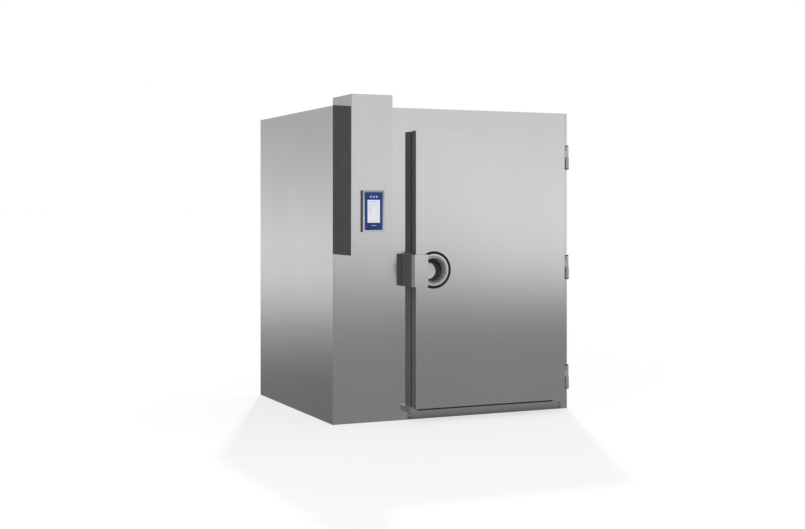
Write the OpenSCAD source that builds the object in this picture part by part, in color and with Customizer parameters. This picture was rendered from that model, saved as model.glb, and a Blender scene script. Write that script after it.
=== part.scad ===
// Roll-in blast chiller: an insulated steel cabinet with one hinged door, an evaporator
// behind a hinged fan panel on the left, and a control column at the front left corner.
// Millimetres. The origin is the centre of the footprint on the floor, +X is right,
// +Y is back and +Z is up. A distance in front of the cabinet's front face is "out".

/* [Cabinet] */
// Outside width
cab_w = 1950; // [1600:10:2400]
// Outside depth of the box, without the door
cab_d = 1680; // [1400:10:1750]
// Outside height of the box
cab_h = 2290; // [1850:10:2800]
// Thickness of the insulated walls and roof
wall_t = 80; // [60:5:120]
// Thickness of the insulated floor
floor_t = 96; // [80:2:120]
// Sheet thickness of the steel skins
skin_t = 1.5; // [1:0.5:3]
// Thickness of the floor plate that trolleys roll on
floor_plate_t = 2; // [1.5:0.5:4]

/* [Door frame and leaf] */
// From the cabinet's left side to the left edge of the leaf
door_from_left = 569; // [520:1:700]
// From the right edge of the leaf to the cabinet's right side
door_from_right = 138; // [120:1:200]
// Height of the leaf's lower edge above the floor
door_bottom = 104; // [100:1:140]
// Height of the cabinet front above the leaf
header_h = 175; // [120:5:300]
// Width of each leg of the door frame
frame_leg_w = 51; // [40:1:80]
// How far the door frame stands out from the cabinet
frame_out = 92; // [70:1:120]
// Thickness of the seal between frame and leaf
gasket_t = 28; // [20:1:36]
// Thickness of the leaf
leaf_t = 71; // [70:1:100]
// Width of the seal's strip
gasket_w = 40; // [30:1:40]
// Width of the dark profile around the leaf's edge
edge_w = 12; // [8:1:20]

/* [Hinges] */
// Height of one hinge
hinge_h = 170; // [120:5:200]
// Height of the lowest hinge above the leaf's lower edge
hinge_low = 168; // [120:2:250]
// Distance of the top hinge below the leaf's top edge
hinge_high = 176; // [120:2:250]
// Distance of the hinge pins beyond the leaf's right edge
hinge_off = 26; // [24:1:34]
// From the leaf's face back to the centre of the hinge pins
hinge_back = 11; // [5:1:40]
// Radius of the hinge pins
hinge_pin_r = 6; // [4:0.5:7]

/* [Handle] */
// Height of the handle's centre above the floor
handle_z = 1106; // [900:1:1200]
// Height of the handle's folded lever
lever_h = 232; // [180:2:280]
// How far the lever reaches past the leaf's left edge
lever_over = 70; // [62:1:90]
// Width of the lever's plate in front of the leaf
lever_cover = 53; // [40:1:70]
// Distance from the leaf's face to the lever's front
lever_stand = 93; // [80:1:120]
// Thickness of the lever's plate
lever_t = 4; // [3:0.5:6]
// Radius of the round nose of the lever
nose_r = 59; // [45:1:65]
// Largest turn of the lever in degrees
lever_turn = 15; // [8:1:15]
// Radius of the lever's pivot pin
lever_pin_r = 8; // [6:0.5:10]
// From the leaf's left edge to the centre of the round bowl
bowl_off = 142.5; // [139:0.5:180]
// Radius of the bowl's outer ring
bowl_ring_r = 136; // [126:1:138]
// Radius of the bowl's mouth
bowl_mouth_r = 94; // [90:1:104]
// Width of the black ring around the bowl's plate
bowl_seal_w = 13; // [8:1:16]
// Depth of the bowl
bowl_depth = 45; // [30:1:55]
// From the tip of the lever's nose to the centre of the inner release rod
rod_inset = 23.5; // [20:0.5:40]
// Radius of the inner release rod
rod_r = 8; // [6:0.5:10]

/* [Control column] */
// Width of the column
col_w = 307; // [280:1:400]
// Depth of the column
col_d = 368; // [300:1:420]
// Height of the column's lower end above the floor
col_bottom = 1225; // [1000:5:1300]
// Height of the column above the cabinet's roof
col_rise = 54; // [50:1:90]
// Sheet thickness of the column
col_t = 2; // [1.5:0.5:3]
// Width of the display
display_w = 162; // [140:1:200]
// Height of the display
display_h = 290; // [240:1:340]
// How far the display stands out from the column
display_out = 24; // [16:1:40]
// Height of the display's centre above the column's lower end
display_rise = 308; // [250:1:400]

/* [Evaporator and fans] */
// Width of the evaporator's room behind the fan panel
evap_w = 430; // [420:5:480]
// Radius of the fan openings
fan_r = 222; // [180:1:230]
// Number of blades on a fan
fan_blades = 5; // [3:1:7]
// Free gap at each end of the fan panel
panel_gap = 110; // [90:5:150]
// Distance between the evaporator's fins
fin_pitch = 15; // [12:1:25]
// Thickness of one fin
fin_t = 1.2; // [1:0.1:2]
// Depth of the evaporator block
coil_w = 200; // [150:5:200]

/* [Connections] */
// Outside radius of the suction pipe's end
suction_r = 21; // [14:0.5:27]
// Outside radius of the liquid pipe's end
liquid_r = 8; // [5:0.5:11]
// Outside radius of the drain's end
drain_r = 20; // [14:1:22]
// Bore radius of the cable gland
gland_r = 9; // [5:0.5:10]

/* [Hidden] */

$fn = 64;
// Gap between neighbouring pieces that do not touch
gap = 0.3;
// Joint between neighbouring sandwich panels
seam = 0.4;
// Radial clearance of a pin in its bore
run_fit = 0.05;

// Planes of the box
x_left = -cab_w / 2;
x_right = cab_w / 2;
y_front = -cab_d / 2;
y_rear = cab_d / 2;
in_left = x_left + wall_t;
in_right = x_right - wall_t;
in_front = y_front + wall_t;
in_rear = y_rear - wall_t;
ceiling = cab_h - wall_t;

// Door frame and leaf
door_l = x_left + door_from_left;
door_r = x_right - door_from_right;
door_top = cab_h - header_h;
open_l = door_l + frame_leg_w;
open_r = door_r - frame_leg_w;
open_top = door_top - frame_leg_w;
reveal_t = 6;
leaf_back = frame_out + gasket_t;
leaf_out = leaf_back + leaf_t;
threshold_z = 60;

// Hinges
hinge_x = door_r + hinge_off;
hinge_out = leaf_out - hinge_back;
hinge_arm_half = 7;
hinge_foot_t = 5;
hinge_plate_t = 4;
hinge_web_half = 7;
hinge_web_h = 0.3 * hinge_h;
pin_seat_fit = 0.02;
hinge_zs = [door_bottom + hinge_low, (door_bottom + hinge_low + door_top - hinge_high) / 2,
    door_top - hinge_high];
knuckle_r = hinge_pin_r + 9;

// Handle
lever_l = door_l - lever_over;
lever_r = door_l + lever_cover;
lever_out = leaf_out + lever_stand;
lever_back = frame_out + 8;
lever_bend = 18;
lever_low = handle_z - lever_h / 2;
lever_high = handle_z + lever_h / 2;
pin_x = lever_l + 35;
pin_out = leaf_out + 24;
bowl_x = door_l + bowl_off;
rod_x = lever_r + nose_r - rod_inset;
rod_travel = (rod_x - rod_r - pin_x) * sin(lever_turn);
nose_t = 12;
knob_r = 22;
keeper_out = frame_out - 15;
heel_reach = pin_out - (pin_out - lever_back) * cos(lever_turn)
    - (pin_x - lever_l) * sin(lever_turn);
pad_out = heel_reach - 1.4;

// Control column
col_r = x_left + col_w;
col_top = cab_h + col_rise;
display_z = col_bottom + display_rise;
display_x = x_left + 154;
bezel_side = 14;
bezel_t = 2.4;

// Evaporator room
panel_x = in_left + evap_w;
panel_t = 2;
panel_front = in_front + panel_gap;
panel_rear = in_rear - panel_gap + 20;
panel_low = floor_t + 30;
panel_high = ceiling - 30;
fan_y = (panel_front + panel_rear) / 2;
fan_count = 3;
fan_pitch = (panel_high - panel_low) / fan_count;
function fan_z(i) = panel_low + fan_pitch * (i - 0.5);
ring_depth = 80;
panel_axis_x = panel_x + 12;
panel_axis_y = panel_rear + 8;
panel_pin_r = 5;
panel_eye_r = 9;
panel_hinge_zs = [panel_low + 120, (panel_low + panel_high) / 2, panel_high - 120];
coil_l = in_left + 30;
coil_r = coil_l + coil_w;
coil_front = in_front + 160;
coil_rear = in_rear - 140;
tray_z = floor_t + 54;
tray_t = 2;
tray_rim = tray_z + 60;
coil_low = tray_rim + 30;
coil_high = ceiling - 170;
pipe_x = (coil_l + coil_r) / 2;
header_y = coil_rear + 55;
suction_y = header_y;
liquid_y = coil_front - 60;

// A distance in front of the cabinet as a Y coordinate
function out_y(d) = y_front - d;
// Points given as [x, distance out] turned to [x, y]
function plan_points(list) = [for (q = list) [q[0], out_y(q[1])]];

// A block between two limits on each axis
module block(x, y, z)
    translate([x[0], y[0], z[0]]) cube([x[1] - x[0], y[1] - y[0], z[1] - z[0]]);

// A block whose Y limits are given as distances out
module front_block(x, d, z) block(x, [out_y(d[1]), out_y(d[0])], z);

// A plan outline raised between two heights
module raise(z) translate([0, 0, z[0]]) linear_extrude(z[1] - z[0]) children();

// An outline in the Y-Z plane drawn out between two X limits
module along_x(x)
    translate([x[0], 0, 0]) rotate([90, 0, 90]) linear_extrude(x[1] - x[0]) children();

// Turns a shape that stands on +Z to face out of the front at a place
module facing(x, d, z) translate([x, out_y(d), z]) rotate([90, 0, 0]) children();

// A shape that stands on +Z laid along +X
module lying_x(x, y, z) translate([x, y, z]) rotate([0, 90, 0]) children();

// A shape that stands on +Z laid along +Y
module lying_y(x, y, z) translate([x, y, z]) rotate([-90, 0, 0]) children();

// A round pin or tube standing on +Z
module tube(r, bore, h) difference() {
    cylinder(r = r, h = h);
    translate([0, 0, -1]) cylinder(r = bore, h = h + 2);
}

// ---- cabinet ----

module base_pan() color("silver")
    block([x_left + skin_t, x_right - skin_t], [y_front, y_rear - skin_t], [0, skin_t]);

module floor_plate() color("lightgray")
    block([x_left + skin_t, x_right - skin_t], [y_front + skin_t, y_rear - skin_t],
        [floor_t - floor_plate_t, floor_t]);

module side_skin(x) color("silver") block([x, x + skin_t], [y_front, y_rear], [0, cab_h]);

module left_outer_skin() side_skin(x_left);

module right_outer_skin() side_skin(x_right - skin_t);

// Where the drain leaves through the rear wall
drain_x = pipe_x + 20;
drain_z = floor_t + drain_r + 8;

module drain_hole(r)
    lying_y(drain_x, in_rear - 10, drain_z) cylinder(r = r, h = wall_t + 20);

module rear_outer_skin() color("silver") difference() {
    block([x_left + skin_t, x_right - skin_t], [y_rear - skin_t, y_rear], [0, cab_h]);
    drain_hole(drain_r + 2);
}

// Holes for the two refrigerant pipes, through roof and ceiling
module roof_holes(extra) {
    translate([pipe_x, suction_y, ceiling - 10]) cylinder(r = suction_r + extra, h = wall_t + 20);
    translate([pipe_x, liquid_y, ceiling - 10]) cylinder(r = liquid_r + extra, h = wall_t + 20);
}

module roof_outer_skin() color("silver") difference() {
    block([x_left + skin_t, x_right - skin_t], [y_front + skin_t, y_rear - skin_t],
        [cab_h - skin_t, cab_h]);
    roof_holes(2);
}

// The way through the front wall, in which the frame's reveal sits
module front_opening()
    block([open_l - reveal_t, open_r + reveal_t], [y_front - 10, in_front + 10],
        [floor_t, open_top + reveal_t]);

module front_outer_skin() color("silver") difference() {
    block([x_left + skin_t, x_right - skin_t], [y_front, y_front + skin_t], [skin_t, cab_h]);
    front_opening();
}

// Foam of the eight sandwich panels: floor, roof, three walls and the front in three parts
module panel_insulation() color("khaki") {
    x_all = [x_left + skin_t, x_right - skin_t];
    y_all = [y_front + skin_t, y_rear - skin_t];
    z_wall = [floor_t, ceiling + skin_t];
    y_wall = [y_front + skin_t, in_front - skin_t];
    block(x_all, y_all, [skin_t, floor_t - floor_plate_t]);
    difference() {
        block(x_all, y_all, [ceiling + skin_t + seam, cab_h - skin_t]);
        roof_holes(2);
    }
    block([x_all[0], in_left - skin_t], y_all, z_wall);
    block([in_right + skin_t, x_all[1]], y_all, z_wall);
    difference() {
        block([in_left - skin_t + seam, in_right + skin_t - seam],
            [in_rear + skin_t, y_all[1]], z_wall);
        drain_hole(drain_r + 2);
    }
    block([in_left - skin_t + seam, open_l - reveal_t], y_wall, z_wall);
    block([open_r + reveal_t, in_right + skin_t - seam], y_wall, z_wall);
    block([open_l - reveal_t + seam, open_r + reveal_t - seam], y_wall,
        [open_top + reveal_t, z_wall[1]]);
}

// Inner sheets of the side walls, the rear wall, the ceiling and the front wall
module chamber_liner() color("gainsboro") {
    z_in = [floor_t, ceiling - seam];
    block([in_left - skin_t, in_left], [in_front + seam, in_rear - seam], z_in);
    block([in_right, in_right + skin_t], [in_front + seam, in_rear - seam], z_in);
    difference() {
        block([in_left, in_right], [in_rear, in_rear + skin_t], z_in);
        drain_hole(drain_r + 2);
    }
    difference() {
        block([in_left, in_right], [in_front, in_rear], [ceiling, ceiling + skin_t]);
        roof_holes(2);
    }
    difference() {
        block([in_left, in_right], [in_front - skin_t, in_front - seam], z_in);
        front_opening();
    }
}

// ---- door frame and threshold ----

// One leg: the part that stands out and the reveal that lines the wall
module frame_leg(x, reveal_x, z) {
    front_block(x, [0, frame_out], z);
    block(reveal_x, [y_front, in_front], [floor_t, z[1]]);
}

module door_frame() color("dimgray") {
    foot = door_bottom;
    frame_leg([door_l, open_l], [open_l - reveal_t, open_l], [foot, open_top - seam]);
    frame_leg([open_r, door_r], [open_r, open_r + reveal_t], [foot, open_top - seam]);
    front_block([door_l, door_r], [0, frame_out], [open_top, door_top - 3]);
    block([open_l - reveal_t, open_r + reveal_t], [y_front, in_front],
        [open_top, open_top + reveal_t]);
}

// Steel ledge under the door: level with the floor between the legs, raised under them
module threshold() color("silver") {
    front_block([door_l, door_r], [0, frame_out], [threshold_z, floor_t]);
    for (x = [[door_l, open_l], [open_r, door_r]])
        front_block(x, [0, frame_out], [floor_t, door_bottom]);
}

plate_l = door_l + 19;
plate_r = x_right - 56;
plate_out = 3;
plate_z = [2, threshold_z - 2];

module kick_plate() color("silver") front_block([plate_l, plate_r], [0, plate_out], plate_z);

module kick_plate_screws() color("dimgray")
    for (x = [plate_l + 16, plate_r - 18], z = [15, 47])
        facing(x, plate_out, z) cylinder(r1 = 6, r2 = 4.6, h = 2.6);

// ---- latch keeper on the frame side ----

module latch_keeper() color("dimgray") difference() {
    front_block([lever_l, door_l], [0, keeper_out], [lever_low, lever_high]);
    front_block([lever_l + 8, door_l - 8], [keeper_out - 6, keeper_out + 1],
        [lever_low + 10, lever_high - 10]);
}

// Nylon pad that the lever's heel bears on
module keeper_pad() color("black")
    front_block([lever_l + 8, door_l - 8], [keeper_out - 6, pad_out],
        [lever_low + 10, lever_high - 10]);

// ---- hinges ----

// Foot on the cabinet's front, and an arm out to the lower knuckle
module hinge_brackets() color("silver") for (z = hinge_zs) {
    low = [z - hinge_h / 2, z - gap];
    difference() {
        union() {
            front_block([hinge_x - hinge_arm_half, hinge_x + hinge_arm_half],
                [hinge_foot_t, hinge_out], low);
            translate([hinge_x, out_y(hinge_out), low[0]])
                cylinder(r = knuckle_r + 1.5, h = low[1] - low[0]);
        }
        translate([hinge_x, out_y(hinge_out), low[0] - 1])
            cylinder(r = hinge_pin_r + pin_seat_fit, h = hinge_h);
    }
    front_block([hinge_x - 18, hinge_x + 37], [0, hinge_foot_t], [low[0] - 4, z + hinge_h / 2]);
}

module hinge_pins() color("dimgray") for (z = hinge_zs)
    translate([hinge_x, out_y(hinge_out), z - hinge_h / 2]) {
        cylinder(r = hinge_pin_r, h = hinge_h + 2);
        translate([0, 0, hinge_h + 1]) cylinder(r = knuckle_r - 2, h = 7);
    }

// Plate on the leaf's edge, and the upper knuckle on a web that leaves its top free
module hinge_leaves() color("silver") for (z = hinge_zs) {
    top = z + hinge_h / 2;
    front_block([door_r, door_r + hinge_plate_t], [leaf_back + 4, leaf_out - 3],
        [z - hinge_h / 2 + 3, top - 3]);
    difference() {
        union() {
            front_block([door_r + hinge_plate_t, hinge_x],
                [hinge_out - hinge_web_half, hinge_out + hinge_web_half],
                [z + gap, z + hinge_web_h]);
            translate([hinge_x, out_y(hinge_out), z + gap])
                cylinder(r = knuckle_r - 1, h = hinge_h / 2 - gap);
        }
        translate([hinge_x, out_y(hinge_out), z - 1])
            cylinder(r = hinge_pin_r + run_fit, h = hinge_h);
    }
}

// ---- door leaf ----

leaf_x = [door_l, door_r];
leaf_z = [door_bottom, door_top];

// The release rod's way through the leaf
module rod_hole(r) facing(rod_x, leaf_back - 5, handle_z) cylinder(r = r, h = leaf_t + 10);

module door_outer_skin() color("silver") difference() {
    front_block(leaf_x, [leaf_out - skin_t, leaf_out], leaf_z);
    facing(bowl_x, leaf_back, handle_z) cylinder(r = bowl_mouth_r + 6, h = leaf_t + 10);
}

module door_inner_skin() color("gainsboro") difference() {
    front_block(leaf_x, [leaf_back, leaf_back + skin_t], leaf_z);
    rod_hole(rod_r + run_fit);
}

leaf_core = [leaf_back + skin_t, leaf_out - skin_t];

module door_insulation() color("khaki") difference() {
    front_block([door_l + edge_w, door_r - edge_w], leaf_core,
        [door_bottom + edge_w, door_top - edge_w]);
    facing(bowl_x, leaf_out - bowl_depth - 3, handle_z)
        cylinder(r = bowl_mouth_r + 4, h = leaf_t);
    rod_hole(rod_r + 4);
}

module door_edge_profile() color("dimgray") difference() {
    front_block(leaf_x, leaf_core, leaf_z);
    front_block([door_l + edge_w, door_r - edge_w], [leaf_core[0] - 1, leaf_core[1] + 1],
        [door_bottom + edge_w, door_top - edge_w]);
}

// Seal on the sides and the top; the wiper closes the lower edge
module door_gasket() color("black") difference() {
    front_block([door_l + 4, door_r - 4], [frame_out + gap, leaf_back],
        [door_bottom + 4, door_top - 7]);
    front_block([door_l + 4 + gasket_w, door_r - 4 - gasket_w], [0, leaf_back + 1],
        [0, door_top - 7 - gasket_w]);
}

module door_wiper() color("black")
    along_x([open_l + 4, open_r - 4]) polygon([[out_y(leaf_back), door_bottom + 14],
        [out_y(leaf_back - 5), door_bottom + 14], [out_y(leaf_back - 8), door_bottom - 4],
        [out_y(frame_out + gap), door_bottom - 16], [out_y(frame_out + gap), door_bottom - 20],
        [out_y(frame_out + gap + 5), door_bottom - 20], [out_y(leaf_back), door_bottom - 8]]);

// ---- handle bowl, lever and inner release ----

bowl_t = 2;
bowl_neck_r = bowl_mouth_r - 15;
bowl_flange_r = bowl_ring_r - bowl_seal_w;

// Round dish: flange with a groove and a bead, a sloping lip and the deep part
module handle_bowl() color("silver") difference() {
    facing(bowl_x, leaf_out, handle_z) rotate_extrude() polygon([
        [0, -bowl_depth], [bowl_neck_r - 6, -bowl_depth], [bowl_neck_r, -bowl_depth + 6],
        [bowl_neck_r, -21], [bowl_mouth_r - 5, -4], [bowl_mouth_r - 5, 5],
        [bowl_mouth_r - 3, 6.5], [bowl_mouth_r, 5], [bowl_mouth_r, 3],
        [bowl_mouth_r + 3, 3], [bowl_mouth_r + 3, 1.5], [bowl_mouth_r + 5, 1.5],
        [bowl_mouth_r + 5, 3], [bowl_flange_r, 3], [bowl_flange_r, 0],
        [bowl_mouth_r + 2, 0], [bowl_mouth_r + 2, -4], [bowl_neck_r + bowl_t + 2, -21],
        [bowl_neck_r + bowl_t, -bowl_depth - bowl_t], [0, -bowl_depth - bowl_t]]);
    rod_hole(rod_r + run_fit);
}

module bowl_ring_seal() color("black") facing(bowl_x, leaf_out, handle_z)
    rotate_extrude() polygon([[bowl_flange_r, 0], [bowl_ring_r, 0], [bowl_ring_r - 1, 3],
        [bowl_ring_r - 4, 5], [bowl_flange_r + 2, 5], [bowl_flange_r, 3]]);

// Fixed bracket on the leaf's edge that holds the lever's pin
module latch_bracket() color("gray") difference() {
    raise([lever_low + 8, lever_high - 8]) polygon(plan_points([[door_l, leaf_back + 2],
        [door_l - 28, leaf_back + 2], [pin_x - 17, pin_out - 15], [pin_x - 17, pin_out + 17],
        [pin_x + 17, pin_out + 17], [door_l - 6, leaf_out + 8], [door_l, leaf_out - 2]]));
    translate([pin_x, out_y(pin_out), lever_low])
        cylinder(r = lever_pin_r + pin_seat_fit, h = lever_h);
}

module lever_pin() color("silver")
    translate([pin_x, out_y(pin_out), lever_low]) cylinder(r = lever_pin_r, h = lever_h);

// Outline of the lever's folded plate: side wall, bend and front plate
module lever_outline() {
    bend = [lever_l + lever_bend, out_y(lever_out - lever_bend)];
    translate([lever_l, bend[1]]) square([lever_t, lever_out - lever_bend - lever_back]);
    translate([bend[0], out_y(lever_out)]) square([lever_r - bend[0], lever_t]);
    translate(bend) intersection() {
        difference() {
            circle(r = lever_bend);
            circle(r = lever_bend - lever_t);
        }
        translate([-2 * lever_bend, -2 * lever_bend]) square(2 * lever_bend);
    }
}

cheek_t = 4;

// Closing plate at one end of the lever, cut back so that it clears the leaf as it turns
module lever_cheek(z) difference() {
    raise([z, z + cheek_t]) polygon(plan_points([[lever_l + 1, lever_back + 1],
        [lever_l + 34, lever_back + 1], [pin_x + 23, leaf_out - 2], [pin_x + 23, pin_out + 12],
        [lever_r - 20, lever_out - 1], [lever_l + lever_bend, lever_out - 1],
        [lever_l + 5, lever_out - 6], [lever_l + 1, lever_out - lever_bend]]));
    translate([pin_x, out_y(pin_out), z - 1])
        cylinder(r = lever_pin_r + run_fit, h = cheek_t + 2);
}

module handle_lever() color("silver") {
    raise([lever_low, lever_high]) lever_outline();
    lever_cheek(lever_low);
    lever_cheek(lever_high - cheek_t);
    difference() {
        facing(lever_r, lever_out - nose_t, handle_z) cylinder(r = nose_r, h = nose_t);
        front_block([lever_r - 2 * nose_r, lever_r - 12],
            [lever_out - nose_t - 1, lever_out + 1],
            [handle_z - nose_r - 1, handle_z + nose_r + 1]);
    }
}

rod_tip = lever_out - nose_t - gap;
knob_back = leaf_back - rod_travel - 4;

module release_rod() color("silver") facing(rod_x, knob_back - 12, handle_z)
    cylinder(r = rod_r, h = rod_tip - knob_back + 12);

module release_knob() color("limegreen") facing(rod_x, knob_back - 24, handle_z)
    difference() {
        rotate_extrude() polygon([[0, 0], [knob_r - 6, 0], [knob_r - 2, 3], [knob_r, 8],
            [knob_r, 14], [knob_r - 4, 18], [rod_r + 6, 19], [rod_r + 5, 24], [0, 24]]);
        translate([0, 0, 12]) cylinder(r = rod_r + pin_seat_fit, h = 20);
    }

// ---- evaporator room: posts, fan panel, fans ----

// Two posts from floor to ceiling; the rear one carries three pintles for the panel
module panel_posts() color("silver") {
    post_x = [panel_x - 45, panel_x - 3];
    block(post_x, [panel_front - 43, panel_front - 3], [floor_t, ceiling]);
    block(post_x, [panel_rear + 3, panel_rear + 43], [floor_t, ceiling]);
    for (z = panel_hinge_zs) {
        translate([panel_axis_x, panel_axis_y, z - 15]) cylinder(r = panel_eye_r, h = 15);
        block([panel_x - 3, panel_axis_x], [panel_axis_y, panel_axis_y + panel_eye_r],
            [z - 15, z]);
        translate([panel_axis_x, panel_axis_y, z]) cylinder(r = panel_pin_r, h = 38);
    }
}

// Folded sheet with three round fan openings, each with a collar, and three hinge eyes
module fan_panel() color("gainsboro") {
    sheet_x = [panel_x - panel_t, panel_x];
    flange_x = [panel_x - 25, panel_x - panel_t / 2];
    difference() {
        union() {
            block(sheet_x, [panel_front, panel_rear], [panel_low, panel_high]);
            for (y = [panel_front, panel_rear - panel_t])
                block(flange_x, [y, y + panel_t], [panel_low, panel_high]);
            for (z = [panel_low, panel_high - panel_t])
                block(flange_x, [panel_front, panel_rear], [z, z + panel_t]);
            for (i = [1 : fan_count])
                lying_x(panel_x - ring_depth, fan_y, fan_z(i))
                    cylinder(r = fan_r + 3, h = ring_depth);
        }
        for (i = [1 : fan_count])
            lying_x(panel_x - ring_depth - 1, fan_y, fan_z(i))
                cylinder(r = fan_r, h = ring_depth + 2);
    }
    for (z = panel_hinge_zs) difference() {
        union() {
            translate([panel_axis_x, panel_axis_y, z + gap])
                cylinder(r = panel_eye_r, h = 30);
            block([panel_x, panel_axis_x - 4], [panel_rear - 30, panel_axis_y],
                [z + gap, z + gap + 30]);
        }
        translate([panel_axis_x, panel_axis_y, z - 1])
            cylinder(r = panel_pin_r + run_fit, h = 40);
    }
}

motor_r = 60;
motor_x = panel_x - ring_depth - 75;
shaft_r = 8;

// Three motors, each on four arms that lie on the collar's rear edge
module fan_motors() color("dimgray") for (i = [1 : fan_count])
    lying_x(motor_x, fan_y, fan_z(i)) difference() {
        union() {
            cylinder(r = motor_r, h = 75);
            for (a = [45 : 90 : 315]) rotate(a)
                translate([0, -8, 69]) cube([fan_r + 3, 16, 6]);
        }
        translate([0, 0, 40]) cylinder(r = shaft_r + run_fit, h = 40);
    }

// Three guards of flat rings on four bars, on the chamber side of the panel
guard_rings = 6;
module fan_guards() color("silver") for (i = [1 : fan_count])
    lying_x(panel_x, fan_y, fan_z(i)) {
        for (k = [0 : guard_rings])
            translate([0, 0, 3]) tube(40 + k * (fan_r - 30) / guard_rings,
                36 + k * (fan_r - 30) / guard_rings, 4);
        for (a = [0 : 45 : 135]) rotate(a)
            translate([-fan_r - 12, -3, 0]) cube([2 * fan_r + 24, 6, 4]);
    }

hub_r = 62;
hub_x = panel_x - ring_depth + 8;
hub_depth = 45;
blade_tip_r = fan_r - 8;

// Hub with flat pitched blades and the shaft that runs in the motor
module fan_rotor(i) color("slategray") lying_x(hub_x, fan_y, fan_z(i)) {
    cylinder(r = hub_r, h = hub_depth);
    translate([0, 0, -30]) cylinder(r = shaft_r, h = 31);
    for (k = [0 : fan_blades - 1]) rotate(k * 360 / fan_blades)
        translate([hub_r - 6, 0, hub_depth / 2]) rotate([28, 0, 0])
            translate([0, -42, -1.5]) cube([blade_tip_r - hub_r - 4, 84, 3]);
}

module fan_rotor_1() fan_rotor(1);
module fan_rotor_2() fan_rotor(2);
module fan_rotor_3() fan_rotor(3);

// ---- evaporator ----

// Fin block drawn as a comb, with a sheet at each end that stands in the tray
module evaporator_coil() color("lightgray") {
    fins = floor((coil_rear - coil_front - 10) / fin_pitch);
    raise([coil_low, coil_high]) {
        translate([coil_l, coil_front + 2 + gap])
            square([6, coil_rear - coil_front - 4 - 2 * gap]);
        for (i = [0 : fins])
            translate([coil_l, coil_front + 4 + i * fin_pitch]) square([coil_w, fin_t]);
    }
    for (y = [coil_front - 1, coil_rear - 2])
        block([coil_l - 5, coil_r + 5], [y, y + 3], [tray_z + tray_t, coil_high + 10]);
}

bend_rows = 8;

// Return bends at the front end, and the upright header at the rear end with its branches
module coil_pipework() color("peru") {
    row = (coil_high - coil_low) / bend_rows;
    for (k = [0 : bend_rows - 1])
        translate([coil_l + 60, coil_front - 1, coil_low + row * (k + 0.5)])
            rotate(180) rotate_extrude(angle = 180) translate([40, 0]) circle(r = 8);
    translate([pipe_x, header_y, coil_low + 40])
        cylinder(r = suction_r - 1, h = coil_high - coil_low - 60);
    for (k = [0 : bend_rows - 1])
        lying_y(pipe_x, coil_rear + 1, coil_low + row * (k + 0.5))
            cylinder(r = 8, h = header_y - coil_rear - 1);
}

valve_z = coil_high - 220;

// Body, bonnet and outlet of the expansion valve, on the liquid line
module expansion_valve() color("goldenrod") translate([pipe_x, liquid_y, valve_z]) {
    cylinder(r = 17, h = 60);
    translate([0, 0, 28]) lying_x(0, 0, 0) cylinder(r = 12, h = 34);
    translate([34, 0, 28]) lying_x(0, 0, 0) cylinder(r = 22, h = 14);
    translate([0, 0, 14]) lying_y(0, 0, 0) cylinder(r = 9, h = coil_front - 1 - liquid_y);
}

stub_h = 36;

module suction_line() color("peru") translate([pipe_x, suction_y, 0]) {
    translate([0, 0, coil_high - 20]) cylinder(r = suction_r - 1, h = cab_h - coil_high + 22);
    translate([0, 0, cab_h + 2]) cylinder(r = suction_r, h = stub_h);
}

module liquid_line() color("peru") translate([pipe_x, liquid_y, 0]) {
    translate([0, 0, valve_z + 60]) cylinder(r = liquid_r - 0.5, h = cab_h - valve_z - 58);
    translate([0, 0, cab_h + 2]) cylinder(r = liquid_r, h = stub_h);
}

// Open tray under the evaporator, fixed to the left wall
module drip_tray() color("silver") difference() {
    block([in_left, coil_r + 25], [coil_front - 60, coil_rear + 60], [tray_z, tray_rim]);
    block([in_left + tray_t, coil_r + 25 - tray_t],
        [coil_front - 60 + tray_t, coil_rear + 60 - tray_t], [tray_z + tray_t, tray_rim + 1]);
    translate([drain_x, coil_rear + 30, tray_z - 1]) cylinder(r = drain_r - 3, h = 10);
}

// Drain: drops from the tray, runs back through the rear wall and ends in a plain pipe end
module drain_pipe() color("dimgray") difference() {
    union() {
        translate([drain_x, coil_rear + 30, drain_z]) cylinder(r = drain_r, h = tray_z - drain_z);
        lying_y(drain_x, coil_rear + 4, drain_z)
            cylinder(r = drain_r + 1, h = y_rear - coil_rear - 2);
        lying_y(drain_x, y_rear + 2, drain_z) cylinder(r = drain_r, h = 40);
    }
    translate([drain_x, coil_rear + 30, drain_z]) cylinder(r = drain_r - 3, h = wall_t);
    lying_y(drain_x, coil_rear + 7, drain_z)
        cylinder(r = drain_r - 3, h = y_rear - coil_rear + 40);
}

// ---- chamber fittings ----

rail_off = 30;
rail_t = 8;
rail_h = 60;
rail_zs = [floor_t + 204, floor_t + 804];

// Flat bumper bars on spacers, along the right and rear walls
module bumper_rails() color("silver") for (z = rail_zs) {
    y_ends = [in_front + 150, in_rear - 100];
    block([in_right - rail_off, in_right - rail_off + rail_t], y_ends, [z, z + rail_h]);
    for (y = [y_ends[0] + 60, (y_ends[0] + y_ends[1]) / 2, y_ends[1] - 60])
        lying_x(in_right - rail_off + 4, y, z + rail_h / 2) cylinder(r = 12, h = rail_off - 4);
    x_ends = [panel_x + 120, in_right - 100];
    block(x_ends, [in_rear - rail_off, in_rear - rail_off + rail_t], [z, z + rail_h]);
    for (x = [x_ends[0] + 60, (x_ends[0] + x_ends[1]) / 2, x_ends[1] - 60])
        lying_y(x, in_rear - rail_off + 4, z + rail_h / 2) cylinder(r = 12, h = rail_off - 4);
}

lamp_y = in_front + 90;
lamp_half = 30;
lamp_h = 32;

module ceiling_lamp() color("white")
    along_x([open_l + 200, open_r - 200]) polygon([[lamp_y - lamp_half, ceiling],
        [lamp_y - lamp_half, ceiling - 20], [lamp_y - lamp_half + 12, ceiling - lamp_h],
        [lamp_y + lamp_half - 12, ceiling - lamp_h], [lamp_y + lamp_half, ceiling - 20],
        [lamp_y + lamp_half, ceiling]]);

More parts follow.
